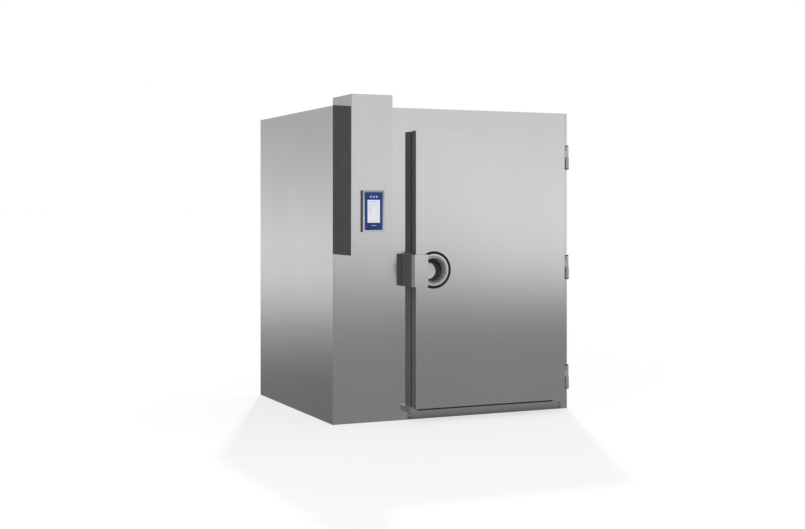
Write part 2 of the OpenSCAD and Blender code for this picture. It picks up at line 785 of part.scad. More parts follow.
module air_probe() color("silver") translate([panel_x - 110, in_front + 60, 0]) {
    translate([0, 0, ceiling - 12]) cylinder(r = 11, h = 12);
    translate([0, 0, ceiling - 150]) cylinder(r = 4, h = 140);
}

// ---- control column ----

gland_x = x_left + col_w / 2;
gland_z = cab_h + col_rise / 2;

module column_back_plate() color("silver") difference() {
    front_block([x_left + col_t, col_r - col_t], [0, col_t],
        [col_bottom + col_t, col_top - col_t]);
    facing(gland_x, -1, gland_z) cylinder(r = gland_r + 4, h = col_t + 2);
}

// Front, right side and bottom, folded from one sheet
module column_cover() color("silver") {
    front_block([x_left + col_t, col_r], [col_d - col_t, col_d], [col_bottom, col_top - col_t]);
    front_block([col_r - col_t, col_r], [0, col_d], [col_bottom, col_top - col_t]);
    front_block([x_left + col_t, col_r], [0, col_d], [col_bottom, col_bottom + col_t]);
}

// Upper edge of the dark side panel, lower at the front than at the back
side_top_back = col_top - 51;
side_top_front = col_top - 84;

module column_side_panel() color("dimgray") along_x([x_left, x_left + col_t])
    polygon([[out_y(0), col_bottom], [out_y(col_d), col_bottom],
        [out_y(col_d), side_top_front], [out_y(0), side_top_back]]);

module column_cap() color("silver") {
    front_block([x_left, col_r], [0, col_d], [col_top - col_t, col_top]);
    along_x([x_left, x_left + col_t]) polygon([[out_y(0), side_top_back + gap],
        [out_y(col_d), side_top_front + gap], [out_y(col_d), col_top], [out_y(0), col_top]]);
}

// Heights of the three mounting rails, measured down from the column's top
din_zs = [col_top - 500, col_top - 330, col_top - 160];

module mounting_rails() color("gainsboro") for (z = din_zs) {
    front_block([x_left + 30, col_r - 30], [col_t, col_t + 8], [z - 9, z + 9]);
    front_block([x_left + 30, col_r - 30], [col_t + 8, col_t + 9], [z - 17, z + 17]);
}

device_out = col_t + 9;

// Three contactors on the lowest rail and a row of terminals on the middle one
module rail_devices() color("whitesmoke") {
    for (i = [0 : 2])
        front_block([x_left + 40 + i * 62, x_left + 94 + i * 62],
            [device_out, device_out + 84], [din_zs[0] - 42, din_zs[0] + 42]);
    for (i = [0 : 11])
        front_block([x_left + 44 + i * 12, x_left + 55 + i * 12],
            [device_out, device_out + 44], [din_zs[1] - 28, din_zs[1] + 28]);
}

module power_supply() color("lightgray")
    front_block([x_left + 48, x_left + 148], [device_out, device_out + 110],
        [din_zs[2] - 62, din_zs[2] + 62]);

// Board behind the display on four pillars
module control_board() color("seagreen") {
    front_block([display_x - 62, display_x + 62], [col_d - 26, col_d - 24],
        [display_z - 95, display_z + 95]);
    for (x = [-54, 54], z = [-87, 87])
        facing(display_x + x, col_d - 24, display_z + z) cylinder(r = 4, h = 24 - col_t);
}

display_x_ends = [display_x - display_w / 2, display_x + display_w / 2];
display_z_ends = [display_z - display_h / 2, display_z + display_h / 2];

module display_housing() color("dimgray")
    front_block(display_x_ends, [col_d, col_d + display_out - bezel_t], display_z_ends);

module display_window(d) front_block([display_x_ends[0] + bezel_side,
    display_x_ends[1] - bezel_side], d, [display_z_ends[0] + bezel_side + 2,
    display_z_ends[1] - bezel_side - 4]);

module display_bezel() color("silver") difference() {
    front_block(display_x_ends, [col_d + display_out - bezel_t, col_d + display_out],
        display_z_ends);
    display_window([col_d, col_d + display_out + 1]);
}

module display_glass() color("royalblue")
    display_window([col_d + display_out - bezel_t, col_d + display_out - 0.8]);

// Cable gland in the column's back plate, above the roof
module cable_gland() color("dimgray") difference() {
    union() {
        lying_y(gland_x, out_y(col_t + 8), gland_z) cylinder(r = gland_r + 4, h = 20 + col_t);
        lying_y(gland_x, out_y(0), gland_z) cylinder(r = gland_r + 11, h = 10, $fn = 6);
        lying_y(gland_x, out_y(0) + 10, gland_z) cylinder(r = gland_r + 8, h = 20);
        lying_y(gland_x, out_y(col_t + 7), gland_z) cylinder(r = gland_r + 10, h = 7, $fn = 6);
    }
    lying_y(gland_x, out_y(col_t + 10), gland_z) cylinder(r = gland_r, h = 60);
}

base_pan();
floor_plate();
left_outer_skin();
right_outer_skin();
rear_outer_skin();
roof_outer_skin();
front_outer_skin();
panel_insulation();
chamber_liner();
door_frame();
threshold();
kick_plate();
kick_plate_screws();
latch_keeper();
keeper_pad();
hinge_brackets();
hinge_pins();
panel_posts();
evaporator_coil();
coil_pipework();
expansion_valve();
suction_line();
liquid_line();
drip_tray();
drain_pipe();
bumper_rails();
ceiling_lamp();
air_probe();
column_back_plate();
column_cover();
column_side_panel();
column_cap();
mounting_rails();
rail_devices();
power_supply();
control_board();
display_housing();
display_bezel();
display_glass();
cable_gland();
door_outer_skin();
door_inner_skin();
door_insulation();
door_edge_profile();
door_gasket();
door_wiper();
handle_bowl();
bowl_ring_seal();
hinge_leaves();
latch_bracket();
lever_pin();
handle_lever();
release_rod();
release_knob();
fan_panel();
fan_motors();
fan_guards();
fan_rotor_1();
fan_rotor_2();
fan_rotor_3();
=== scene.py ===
import math

import bmesh
import bpy
from mathutils import Matrix, Vector


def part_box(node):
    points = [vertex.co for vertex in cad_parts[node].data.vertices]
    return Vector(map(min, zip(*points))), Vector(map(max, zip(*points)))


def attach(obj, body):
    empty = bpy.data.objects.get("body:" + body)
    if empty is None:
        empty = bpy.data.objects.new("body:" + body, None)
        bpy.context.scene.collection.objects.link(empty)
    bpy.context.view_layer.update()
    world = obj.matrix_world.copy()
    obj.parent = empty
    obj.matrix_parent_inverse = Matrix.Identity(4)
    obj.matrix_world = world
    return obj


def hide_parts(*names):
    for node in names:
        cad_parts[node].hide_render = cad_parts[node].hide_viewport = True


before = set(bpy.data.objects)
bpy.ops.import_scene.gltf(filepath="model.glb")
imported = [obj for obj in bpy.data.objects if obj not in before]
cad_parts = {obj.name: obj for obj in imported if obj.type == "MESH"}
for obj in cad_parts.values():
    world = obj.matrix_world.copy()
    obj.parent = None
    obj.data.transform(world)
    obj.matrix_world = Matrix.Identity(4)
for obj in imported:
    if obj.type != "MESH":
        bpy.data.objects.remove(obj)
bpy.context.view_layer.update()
scene = bpy.context.scene
scene.view_settings.view_transform = "Standard"

# ---- Outer sheets of the cabinet ----
# Satin stainless sheet, 1.5 mm, foamed onto the panels. The side sheets are folded
# round the corners, and the front, rear and roof sheets lie between those folds.
MM = 0.001
steel_t = 1.5 * MM
fold_r = 3 * MM
return_w = 18 * MM
joint_w = 0.8 * MM


def linear(code):
    """Turns an sRGB hex colour to the linear one that a shader takes."""
    parts = [int(code[i:i + 2], 16) / 255 for i in (1, 3, 5)]
    return [c / 12.92 if c <= 0.04045 else ((c + 0.055) / 1.055) ** 2.4 for c in parts] + [1]


def add_node(tree, kind, inputs=(), **settings):
    """Adds one shader node with its settings, socket values and links."""
    made = tree.nodes.new("ShaderNode" + kind)
    for key, value in settings.items():
        setattr(made, key, value)
    for key, value in dict(inputs).items():
        if isinstance(value, bpy.types.NodeSocket):
            tree.links.new(value, made.inputs[key])
        else:
            made.inputs[key].default_value = value
    return made


def surface(name, metallic, roughness, **more):
    """Starts a material and returns it with its tree and the object coordinates."""
    made = bpy.data.materials.new(name)
    made.use_nodes = True
    tree = made.node_tree
    shader = tree.nodes["Principled BSDF"]
    shader.inputs["Metallic"].default_value = metallic
    shader.inputs["Roughness"].default_value = roughness
    for key, value in more.items():
        shader.inputs[key.replace("_", " ")].default_value = value
    return made, tree, add_node(tree, "TexCoord").outputs["Object"]


def pattern(tree, place, scale, detail=3.0, kind="TexNoise"):
    """Clouds, lines or cells whose scale is given per metre along each axis."""
    spread = add_node(tree, "Mapping", {"Vector": place, "Scale": scale}).outputs["Vector"]
    return add_node(tree, kind, {"Vector": spread, "Scale": 1.0, "Detail": detail}).outputs[0]


def worked(tree, tone, low, high, fine=None, gloss=None, depth=None, span=(0.3, 0.7),
           socket="Base Color"):
    """Varies a surface: its colour runs between two hex values along one pattern, and its
    roughness and its height, of a real depth, follow a finer one."""
    shader = tree.nodes["Principled BSDF"]
    ramp = add_node(tree, "ValToRGB", {"Fac": tone})
    for stop, at, colour in zip(ramp.color_ramp.elements, span, (low, high)):
        stop.position, stop.color = at, linear(colour)
    tree.links.new(ramp.outputs["Color"], shader.inputs[socket])
    if gloss:
        sheen = add_node(tree, "MapRange", {"Value": fine, "To Min": gloss[0], "To Max": gloss[1]})
        tree.links.new(sheen.outputs[0], shader.inputs["Roughness"])
    if depth:
        bump = add_node(tree, "Bump", {"Height": fine, "Distance": depth})
        tree.links.new(bump.outputs["Normal"], shader.inputs["Normal"])


def brushed(name, low, high, roughness, anisotropy=0.85):
    """Cold-rolled stainless sheet, ground in one direction. Real grain is about 0.1 mm wide;
    it is drawn 2 to 3 mm wide so that it still shows. It blurs reflections across the grain."""
    made, tree, place = surface(name, 1.0, roughness, Anisotropic=anisotropy)
    lines = pattern(tree, place, (420, 420, 5), detail=5.0)
    cloud = pattern(tree, place, (1.3, 1.3, 0.9), detail=2.0)
    both = add_node(tree, "Math", {0: lines, 1: cloud}, operation="ADD").outputs[0]
    half = add_node(tree, "Math", {0: both, 1: 0.5}, operation="MULTIPLY").outputs[0]
    worked(tree, half, low, high, lines, (roughness - 0.02, roughness + 0.02), 0.004 * MM)
    return made


satin_steel = brushed("stainless_304_satin_vertical_grain", "#D2D2D3", "#DADADB", 0.16)


def extruded(bm, outline, along):
    """Draws a closed outline and pulls it out along a vector."""
    face = bm.faces.new([bm.verts.new(p) for p in outline])
    pulled = bmesh.ops.extrude_face_region(bm, geom=[face])["geom"]
    verts = [g for g in pulled if isinstance(g, bmesh.types.BMVert)]
    bmesh.ops.translate(bm, vec=along, verts=verts)


def centre(name):
    """The middle of a CAD node's box."""
    low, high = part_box(name)
    return (low + high) / 2


def arc(cx, cy, r, start, end, steps):
    """Points along an arc in a plane, with its angles in degrees."""
    turns = [math.radians(start + (end - start) * k / steps) for k in range(steps + 1)]
    return [(cx + r * math.cos(a), cy + r * math.sin(a)) for a in turns]


def copied(source):
    """A merged copy of a CAD node's mesh, its flat faces joined."""
    bm = bmesh.new()
    bm.from_mesh(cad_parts[source].data)
    bmesh.ops.remove_doubles(bm, verts=bm.verts, dist=0.02 * MM)
    bmesh.ops.dissolve_limit(bm, angle_limit=math.radians(0.3), verts=bm.verts, edges=bm.edges)
    return bm


def piece(name, bm, material, nodes=(), body="cabinet", recalc=True):
    """Makes the object: smooth over its bends, on its body, in place of its CAD nodes."""
    if recalc:
        bmesh.ops.recalc_face_normals(bm, faces=bm.faces)
    for f in bm.faces:
        f.smooth = True
    for e in bm.edges:
        e.smooth = len(e.link_faces) == 2 and e.calc_face_angle() < math.radians(38)
    mesh = bpy.data.meshes.new(name)
    bm.to_mesh(mesh)
    bm.free()
    mesh.materials.append(material)
    made = bpy.data.objects.new(name, mesh)
    scene.collection.objects.link(made)
    even = made.modifiers.new("even_normals", "WEIGHTED_NORMAL")
    even.keep_sharp = True
    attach(made, body)
    if nodes:
        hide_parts(*nodes)


for side, node_name in ((-1, "left_outer_skin"), (1, "right_outer_skin")):
    low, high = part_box(node_name)
    outer = low.x if side < 0 else high.x
    reach, r = return_w, fold_r
    front, rear = low.y, high.y
    outside = ([(reach, front)] + arc(r, front + r, r, -90, -180, 5)
               + arc(r, rear - r, r, 180, 90, 5) + [(reach, rear)])
    t = steel_t
    inside = ([(reach, rear - t)] + arc(r, rear - r, r - t, 90, 180, 5)
              + arc(r, front + r, r - t, -180, -90, 5) + [(reach, front + t)])
    bm = bmesh.new()
    extruded(bm, [(outer - side * x, y, low.z) for x, y in outside + inside],
             (0, 0, high.z - low.z))
    piece(node_name.replace("outer_skin", "side_sheet"), bm, satin_steel,
          [node_name])


def cut_at(bm, x, side):
    """Cuts away what lies beyond a plane across X, and closes the cut."""
    bmesh.ops.bisect_plane(bm, geom=bm.verts[:] + bm.edges[:] + bm.faces[:],
                           plane_co=(x, 0, 0), plane_no=(side, 0, 0), clear_outer=True)
    bmesh.ops.holes_fill(bm, edges=[e for e in bm.edges if e.is_boundary], sides=0)


def strips(source, name, edges):
    """Cuts copies of a wide sheet into strips side by side, with a fine joint between them."""
    for k, (start, end) in enumerate(zip(edges, edges[1:])):
        bm = copied(source)
        cut_at(bm, start + joint_w / 2, -1)
        cut_at(bm, end - joint_w / 2, 1)
        last = k == len(edges) - 2
        piece(f"{name}_{k + 1}" if len(edges) > 2 else name, bm, satin_steel,
              [source] if last else [], recalc=False)


half_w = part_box("right_outer_skin")[1].x
between_folds = half_w - return_w - joint_w
strips("front_outer_skin", "front_sheet", [-between_folds, between_folds])
strips("rear_outer_skin", "rear_sheet", [-between_folds, -half_w / 3, half_w / 3, between_folds])
strips("roof_outer_skin", "roof_sheet", [-half_w, -half_w / 3, half_w / 3, half_w])


def clouded(name, metallic, roughness, colour, light, cloud, grain, depth, detail=2.0,
            spread=(0.05, 0.05), **more):
    """An even colour with faint cloud under a fine grain, which also varies the gloss."""
    made, tree, place = surface(name, metallic, roughness, **more)
    gloss = spread and (roughness - spread[0], roughness + spread[1])
    worked(tree, pattern(tree, place, (cloud, cloud, cloud)), colour, light,
           pattern(tree, place, grain, detail), gloss, depth)
    return made


def moulded(name, colour, light, roughness, depth=0.03 * MM):
    """Moulded plastic or rubber with an eroded skin whose grain is 1 mm wide."""
    return clouded(name, 0.0, roughness, colour, light, 9, (900, 900, 900), depth, IOR=1.5)


black_rubber = moulded("epdm_rubber_black", "#242424", "#2A2A2A", 0.6)


def lathed(bm, outline, place, steps=40):
    """Turns an outline of (radius, height) points in millimetres once round Z and places it."""
    before = set(bm.verts)
    line = [bm.verts.new((r * MM, 0, h * MM)) for r, h in outline]
    edges = [bm.edges.new(pair) for pair in zip(line, line[1:])]
    bmesh.ops.spin(bm, geom=line + edges, cent=(0, 0, 0), axis=(0, 0, 1), angle=2 * math.pi,
                   steps=steps, use_merge=True)
    made = [v for v in bm.verts if v not in before]
    bmesh.ops.remove_doubles(bm, verts=made, dist=0.001 * MM)
    made = [v for v in bm.verts if v not in before]
    bmesh.ops.transform(bm, matrix=place, verts=made)


def facing(x, y, z, axis=(0, 0, 1)):
    """Places a shape that stands on +Z at a point, with its +Z along an axis."""
    turn = Vector(axis).to_track_quat("Z", "Y").to_matrix().to_4x4()
    return Matrix.Translation((x, y, z)) @ turn


def collar(name, place, r):
    """Rubber collar round a pipe where it leaves the sheet."""
    bm = bmesh.new()
    lathed(bm, [(r + 0.3, 0), (r + 16, 0), (r + 16, 1.5), (r + 14, 2.5), (r + 5, 3), (r + 3, 5),
                (r + 2.4, 13), (r + 1.4, 14), (r + 0.3, 13.4), (r + 0.3, 0)], place)
    piece(name, bm, black_rubber)


roof_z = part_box("roof_outer_skin")[1].z
for name in ("suction_line", "liquid_line"):
    low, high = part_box(name)
    collar(name.replace("line", "roof_collar"), facing(*centre(name).xy, roof_z),
           (high.x - low.x) / 2 / MM)

# ---- Base pan, floor plate and coves ----
# The base pan and the floor plate are plain stainless sheets. Quarter-round stainless
# coves are sealed into every inner corner of the chamber, so that it can be washed out.
inner_steel = brushed("stainless_304_2B_inner_sheet", "#C6C9CB", "#D2D4D5", 0.3, anisotropy=0.4)
cove_r = 14 * MM


def finished(node_name, material):
    """Gives a CAD node that keeps its own mesh its material."""
    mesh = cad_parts[node_name].data
    mesh.materials.clear()
    mesh.materials.append(material)


def cove(bm, corner, a, b, along):
    """A quarter-round strip in the corner between two walls that run along a and b."""
    corner, a, b = Vector(corner), Vector(a), Vector(b)
    middle = corner + (a + b) * cove_r
    turns = [math.radians(t) for t in range(0, 91, 15)]
    extruded(bm, [corner] + [middle - (a * math.cos(t) + b * math.sin(t)) * cove_r
                             for t in turns], along)


finished("base_pan", satin_steel)
finished("floor_plate", inner_steel)
room_low, room_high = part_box("chamber_liner")
low = room_low + Vector((steel_t, steel_t, 0))
high = room_high - Vector((steel_t, steel_t, steel_t))
wide, deep, tall = high - low
opening_low, opening_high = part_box("door_wiper")
bm = bmesh.new()
for z, up in ((low.z, 1), (high.z, -1)):
    for x, inward in ((low.x, 1), (high.x, -1)):
        cove(bm, (x, low.y, z), (inward, 0, 0), (0, 0, up), (0, deep, 0))
    cove(bm, (low.x, high.y, z), (0, -1, 0), (0, 0, up), (wide, 0, 0))
cove(bm, (low.x, low.y, high.z), (0, 1, 0), (0, 0, -1), (wide, 0, 0))
beside_sill = 10 * MM
for start, end in ((low.x, opening_low.x - beside_sill), (opening_high.x + beside_sill, high.x)):
    cove(bm, (start, low.y, low.z), (0, 1, 0), (0, 0, 1), (end - start, 0, 0))
for x, inward in ((low.x, 1), (high.x, -1)):
    for y, back in ((low.y, 1), (high.y, -1)):
        cove(bm, (x, y, low.z), (inward, 0, 0), (0, back, 0), (0, 0, tall))
piece("corner_coves", bm, inner_steel)
finished("chamber_liner", inner_steel)

# ---- Foam of the panels and of the door ----
# Closed-cell polyurethane foam, injected between the sheets. It has a cream colour and a
# fine open texture where it is cut; nothing of it shows on a closed panel.
cream_foam, tree, place = surface("polyurethane_foam_cream", 0.0, 0.95, IOR=1.4)
bubbles = pattern(tree, place, (260, 260, 260), 0.0, "TexVoronoi")
worked(tree, bubbles, "#C9B878", "#E6D9A4", bubbles, depth=0.8 * MM, span=(0.0, 0.6))
finished("panel_insulation", cream_foam)
finished("door_insulation", cream_foam)

# ---- Door frame ----
# Dark rigid vinyl extrusion, screwed on round the opening. Each leg has two fine grooves
# along its side, and the reveal behind it lines the wall of the cabinet.
dark_vinyl = moulded("rigid_vinyl_dark_grey", "#5B5B5C", "#616162", 0.5, depth=0.01 * MM)
front_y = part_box("front_outer_skin")[0].y
frame_low, frame_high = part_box("door_frame")
frame_out = front_y - frame_low.y
leg_w, header_h = 51 * MM, 48 * MM
reveal_t, reveal_deep = 6 * MM, 80 * MM
header_low = frame_high.z - header_h
mitre_gap = 0.4 * MM
# the profile: share of the leg's width from its outer side, share of its depth from the wall
profile = [(0, 0), (0, 0.30), (0.025, 0.315), (0.025, 0.335), (0, 0.35), (0, 0.92), (0.03, 0.97),
           (0.08, 1.0), (0.92, 1.0), (0.97, 0.98), (1.0, 0.94), (1.0, 0.0)]
foot_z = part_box("door_outer_skin")[0].z


def block(bm, low, high):
    """Adds a box between two corners, in metres, and returns its vertices."""
    made = bmesh.ops.create_cube(bm, size=1)["verts"]
    bmesh.ops.scale(bm, vec=[b - a for a, b in zip(low, high)], verts=made)
    bmesh.ops.translate(bm, vec=[(a + b) / 2 for a, b in zip(low, high)], verts=made)
    return made


def round_edges(bm, edges, width, segments=2):
    """Rounds edges as a folded or moulded part has them."""
    bmesh.ops.bevel(bm, geom=list(edges), offset=width, offset_type="OFFSET", affect="EDGES",
                    segments=segments, profile=0.5, clamp_overlap=True, material=-1)


def rounded_block(bm, low, high, width, segments=2, place=None):
    """A box with rounded edges, turned or moved by a matrix where one is given."""
    before = set(bm.verts)
    made = block(bm, low, high)
    round_edges(bm, {e for v in made for e in v.link_edges}, width, segments)
    if place is not None:
        bmesh.ops.transform(bm, matrix=place, verts=[v for v in bm.verts if v not in before])


bm = bmesh.new()
for edge, inward in ((frame_low.x, 1), (frame_high.x, -1)):
    leg = [(edge + inward * leg_w * a, front_y - frame_out * b, foot_z) for a, b in profile]
    extruded(bm, leg, (0, 0, header_low - mitre_gap - foot_z))
    reveal = sorted([edge + inward * leg_w, edge + inward * (leg_w - reveal_t)])
    rounded_block(bm, (reveal[0], front_y, frame_low.z),
                  (reveal[1], front_y + reveal_deep, header_low - mitre_gap), 0.6 * MM)
extruded(bm, [(frame_low.x, front_y - frame_out * b, frame_high.z - header_h * a)
              for a, b in profile], (frame_high.x - frame_low.x, 0, 0))
rounded_block(bm, (frame_low.x + leg_w - reveal_t, front_y, header_low),
              (frame_high.x - leg_w + reveal_t, front_y + reveal_deep, header_low + reveal_t),
              0.6 * MM)
piece("door_frame_profile", bm, dark_vinyl, ["door_frame"])

# ---- Threshold and kick plate ----
# The threshold is a folded stainless ledge under the door. The kick plate below it is a
# flat stainless strip with rounded edges, held by four dark button-head socket screws.
TO_FRONT, TO_REAR, DOWN = (0, -1, 0), (0, 1, 0), (0, 0, -1)
TO_LEFT, TO_RIGHT = (-1, 0, 0), (1, 0, 0)


def softened(source, width, segments=2):
    """A copy of a CAD node with its sharp edges rounded."""
    bm = copied(source)
    sharp = [e for e in bm.edges
             if len(e.link_faces) == 2 and e.calc_face_angle() > math.radians(35)]
    round_edges(bm, sharp, width, segments)
    return bm


def dressed(name, source, width, material, segments=2, body="cabinet"):
    """The CAD node's own shape with its edges rounded."""
    piece(name, softened(source, width, segments), material, [source], body, False)


# painted shade: a darker copy of the satin sheet, for the ledge low down under the door
ledge_steel = brushed("stainless_304_satin_ledge_painted_shade", "#C6C6C7", "#CECECF", 0.16)
dressed("threshold_ledge", "threshold", 1.2 * MM, ledge_steel)

# painted shade: a darker copy of the satin steel, for the strip low down by the floor
kick_steel = brushed("stainless_430_strip_painted_shade", "#BEBEBF", "#C6C6C7", 0.18)
# painted reflection of the floor's contact shadow: its colour gets darker still towards the floor
floor_shade_h, floor_shade_share = 34 * MM, 0.55
tree = kick_steel.node_tree
colour_in = tree.nodes["Principled BSDF"].inputs["Base Color"]
at = add_node(tree, "SeparateXYZ", {0: add_node(tree, "TexCoord").outputs["Object"]})
floor_shade = add_node(tree, "MapRange", {"Value": at.outputs["Z"], "From Max": floor_shade_h,
                                   "To Min": floor_shade_share, "To Max": 1.0}).outputs[0]
shade_darkened = add_node(tree, "VectorMath", {0: colour_in.links[0].from_socket, "Scale": floor_shade},
                  operation="SCALE")
tree.links.new(shade_darkened.outputs["Vector"], colour_in)
dressed("kick_plate_strip", "kick_plate", 0.8 * MM, kick_steel)


def plated(name, colour, light, roughness):
    """Turned or pressed metal with faint tool marks 0.5 mm apart."""
    return clouded(name, 1.0, roughness, colour, light, 30, (200, 200, 2000), 0.01 * MM,
                   spread=(0.05, 0.08))


dark_steel = plated("steel_black_zinc_plated", "#3E3E40", "#4C4C4E", 0.4)


def socket_screw(bm, place, r=6.0, h=2.6):
    """A button-head screw with a hexagon socket."""
    lathed(bm, [(r, 0), (r, 0.3 * h), (0.9 * r, 0.62 * h), (0.72 * r, 0.9 * h), (0.5 * r, h),
                (0.42 * r, h)], place, 24)
    lathed(bm, [(0.5 * r, h), (0.46 * r, 0.96 * h), (0.46 * r, 0.3 * h), (0, 0.3 * h)], place, 6)


screw_r = 6 * MM
low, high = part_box("kick_plate_screws")
bm = bmesh.new()
for x in (low.x + screw_r, high.x - screw_r):
    for z in (low.z + screw_r, high.z - screw_r):
        socket_screw(bm, facing(x, high.y, z, TO_FRONT))
piece("kick_plate_socket_screws", bm, dark_steel, ["kick_plate_screws"])

# ---- Posts, bumper rails, lamp and air probe ----
# Folded stainless posts carry the fan panel. Flat bumper bars on spacers keep trolleys off
# the walls; each spacer is held by a domed screw. The lamp is an opal ribbed cover.
dressed("panel_post_pair", "panel_posts", 1.2 * MM, inner_steel)
bright_steel = brushed("stainless_304_polished", "#D6D7D8", "#DEDEDF", 0.14, anisotropy=0.3)
bm = softened("bumper_rails", 1.5 * MM)
rail_low, rail_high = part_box("bumper_rails")
rail_face = rail_half = 30 * MM


def dome_screw(bm, place, r=9.0, h=3.2):
    """A flat dome head with a small hexagon socket."""
    lathed(bm, [(r, 0), (0.92 * r, 0.4 * h), (0.7 * r, 0.78 * h), (0.4 * r, h), (0.34 * r, h)],
           place, 24)
    lathed(bm, [(0.4 * r, h), (0.36 * r, 0.4 * h), (0, 0.4 * h)], place, 6)


room_rear = room_high.y - steel_t
room_right = room_high.x - steel_t
screw_inset, rail_gap = 60 * MM, 100 * MM
# the first and last screw of the rail along the side wall, and of the one along the rear
side_first = room_low.y + steel_t + 150 * MM + screw_inset
side_last = room_rear - rail_gap - screw_inset
back_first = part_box("panel_posts")[1].x + 99 * MM + screw_inset
back_last = room_right - rail_gap - screw_inset
for z in (rail_low.z + rail_half, rail_high.z - rail_half):
    for share in (0.0, 0.5, 1.0):
        y = side_first + share * (side_last - side_first)
        dome_screw(bm, facing(room_right - rail_face, y, z, TO_LEFT))
        x = back_first + share * (back_last - back_first)
        dome_screw(bm, facing(x, room_rear - rail_face, z, TO_FRONT))
piece("bumper_bars", bm, inner_steel, ["bumper_rails"], recalc=False)

opal = moulded("polycarbonate_opal", "#E9EDEE", "#F2F4F4", 0.3, depth=0.005 * MM)
light_plastic = moulded("abs_light_grey", "#D2D3D1", "#DADAD8", 0.42)
low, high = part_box("ceiling_lamp")
lamp_mid, lamp_half, lamp_h = (low.y + high.y) / 2, (high.y - low.y) / 2, high.z - low.z
cap_w, tray_h = 14 * MM, 10 * MM
lamp_ribs, rib_share, squareness = 48, 0.02, 0.6
cover = []
for k in range(lamp_ribs + 1):
    turn = math.pi + math.pi * k / lamp_ribs
    rib = 1.0 - rib_share * (k % 2)
    across = math.copysign(abs(math.cos(turn)) ** squareness, math.cos(turn))
    down = abs(math.sin(turn)) ** squareness
    cover.append((lamp_mid + lamp_half * rib * across,
                  high.z - tray_h - (lamp_h - tray_h) * rib * down))
bm = bmesh.new()
extruded(bm, [(low.x + cap_w, y, z) for y, z in cover], (high.x - low.x - 2 * cap_w, 0, 0))
piece("lamp_cover", bm, opal, ["ceiling_lamp"])
bm = bmesh.new()
rounded_block(bm, (low.x, low.y, high.z - tray_h), high, 1.5 * MM)
for x in (low.x, high.x - cap_w):
    rounded_block(bm, (x, low.y, low.z - 1 * MM), (x + cap_w, high.y, high.z), 4 * MM, 4)
piece("lamp_body", bm, light_plastic)

bm = bmesh.new()
lathed(bm, [(11, 0), (11, 9), (10, 11), (7.5, 12), (7.5, 20), (6.6, 21), (4, 21), (4, 146),
            (3.4, 148.8), (1.8, 150), (0, 150)],
       facing(*centre("air_probe").xy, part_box("air_probe")[1].z, DOWN), 24)
piece("air_probe_tube", bm, bright_steel, ["air_probe"])

# ---- Evaporator ----
# Block of thin aluminium fins, 8 mm apart, on staggered copper tubes between two end
# sheets. The return bends are brazed on at the front, the branches to the header at the back.
fin_alu, tree, place = surface("aluminium_fin_stock", 1.0, 0.35)
stain = pattern(tree, place, (14, 14, 3), detail=4.0)
worked(tree, stain, "#C9CCCF", "#DEE0E2", stain, (0.28, 0.42))
copper_tube, tree, place = surface("copper_tube_drawn", 1.0, 0.3)
tarnish = pattern(tree, place, (22, 22, 9), detail=4.0)
worked(tree, tarnish, "#A9694A", "#CF8A66", tarnish, (0.42, 0.24))

low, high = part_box("evaporator_coil")
sheet_t = 3 * MM
side_gap = 5 * MM
top_gap, stack_h = 10 * MM, 1800 * MM
fin_low = Vector((low.x + side_gap, low.y + sheet_t, high.z - top_gap - stack_h))
fin_high = Vector((high.x - side_gap, high.y - sheet_t, high.z - top_gap))
fin_pitch, fin_t = 8 * MM, 0.5 * MM
fin_count = int((fin_high.y - fin_low.y - 6 * MM) / fin_pitch)
bm = bmesh.new()
for k in range(fin_count + 1):
    y = fin_low.y + 4 * MM + k * fin_pitch
    block(bm, (fin_low.x, y, fin_low.z), (fin_high.x, y + fin_t, fin_high.z))
for y, flange in ((low.y, 1), (high.y - sheet_t, -1)):
    rounded_block(bm, (low.x, y, low.z), (high.x, y + sheet_t, high.z), 0.8 * MM)
    for x in (low.x, high.x - sheet_t):
        edge_y = sorted((y + sheet_t / 2, y + sheet_t / 2 + flange * 14 * MM))
        rounded_block(bm, (x, edge_y[0], fin_low.z + 2 * MM), (x + sheet_t, edge_y[1], high.z),
                      0.8 * MM)
piece("evaporator_fin_block", bm, fin_alu, ["evaporator_coil"])

tube_r, tube_rows, tube_columns = 6, 16, 4
row_h = (fin_high.z - fin_low.z) / tube_rows
column_w = (fin_high.x - fin_low.x) / tube_columns
run_mm = (high.y - low.y) / MM
bend_y = low.y - 8 * MM


def return_bend(bm, x, y, z, bend_r, r, steps=12):
    """Half a ring of tube that joins two straight tubes side by side."""
    before = set(bm.verts)
    ring = bmesh.ops.create_circle(bm, cap_ends=False, radius=r, segments=12)["verts"]
    edges = list({e for v in ring for e in v.link_edges})
    bmesh.ops.rotate(bm, verts=ring, cent=(0, 0, 0), matrix=Matrix.Rotation(math.pi / 2, 3, "X"))
    bmesh.ops.translate(bm, verts=ring, vec=(bend_r, 0, 0))
    bmesh.ops.spin(bm, geom=ring + edges, cent=(0, 0, 0), axis=(0, 0, 1), angle=-math.pi,
                   steps=steps)
    bmesh.ops.transform(bm, matrix=Matrix.Translation((x, y, z)),
                        verts=[v for v in bm.verts if v not in before])


bm = bmesh.new()
for row in range(tube_rows):
    for column in range(tube_columns):
        x = fin_low.x + column_w * (column + (0.35 if row % 2 else 0.65))
        z = fin_low.z + row_h * (row + 0.5)
        lathed(bm, [(tube_r, 0), (tube_r, run_mm + 10)], facing(x, bend_y, z, TO_REAR), 10)
        for end in (low.y, high.y):
            lathed(bm, [(tube_r, -1.6), (tube_r + 2, -1), (tube_r + 2, 1), (tube_r, 1.6)],
                   facing(x, end, z, TO_REAR), 10)
    for pair in range(tube_columns // 2):
        x = fin_low.x + column_w * (2 * pair + (0.85 if row % 2 else 1.15))
        return_bend(bm, x, bend_y, fin_low.z + row_h * (row + 0.5), column_w / 2, tube_r * MM)
header_x, header_y = centre("suction_line").xy
collect_low, collect_high = fin_low.z + 40 * MM, fin_high.z - 20 * MM
collect_h = (collect_high - collect_low) / MM
lathed(bm, [(0, 0), (14, 0), (18.6, 3), (20, 8), (20, collect_h)],
       facing(header_x, header_y, collect_low), 28)
branches = 8
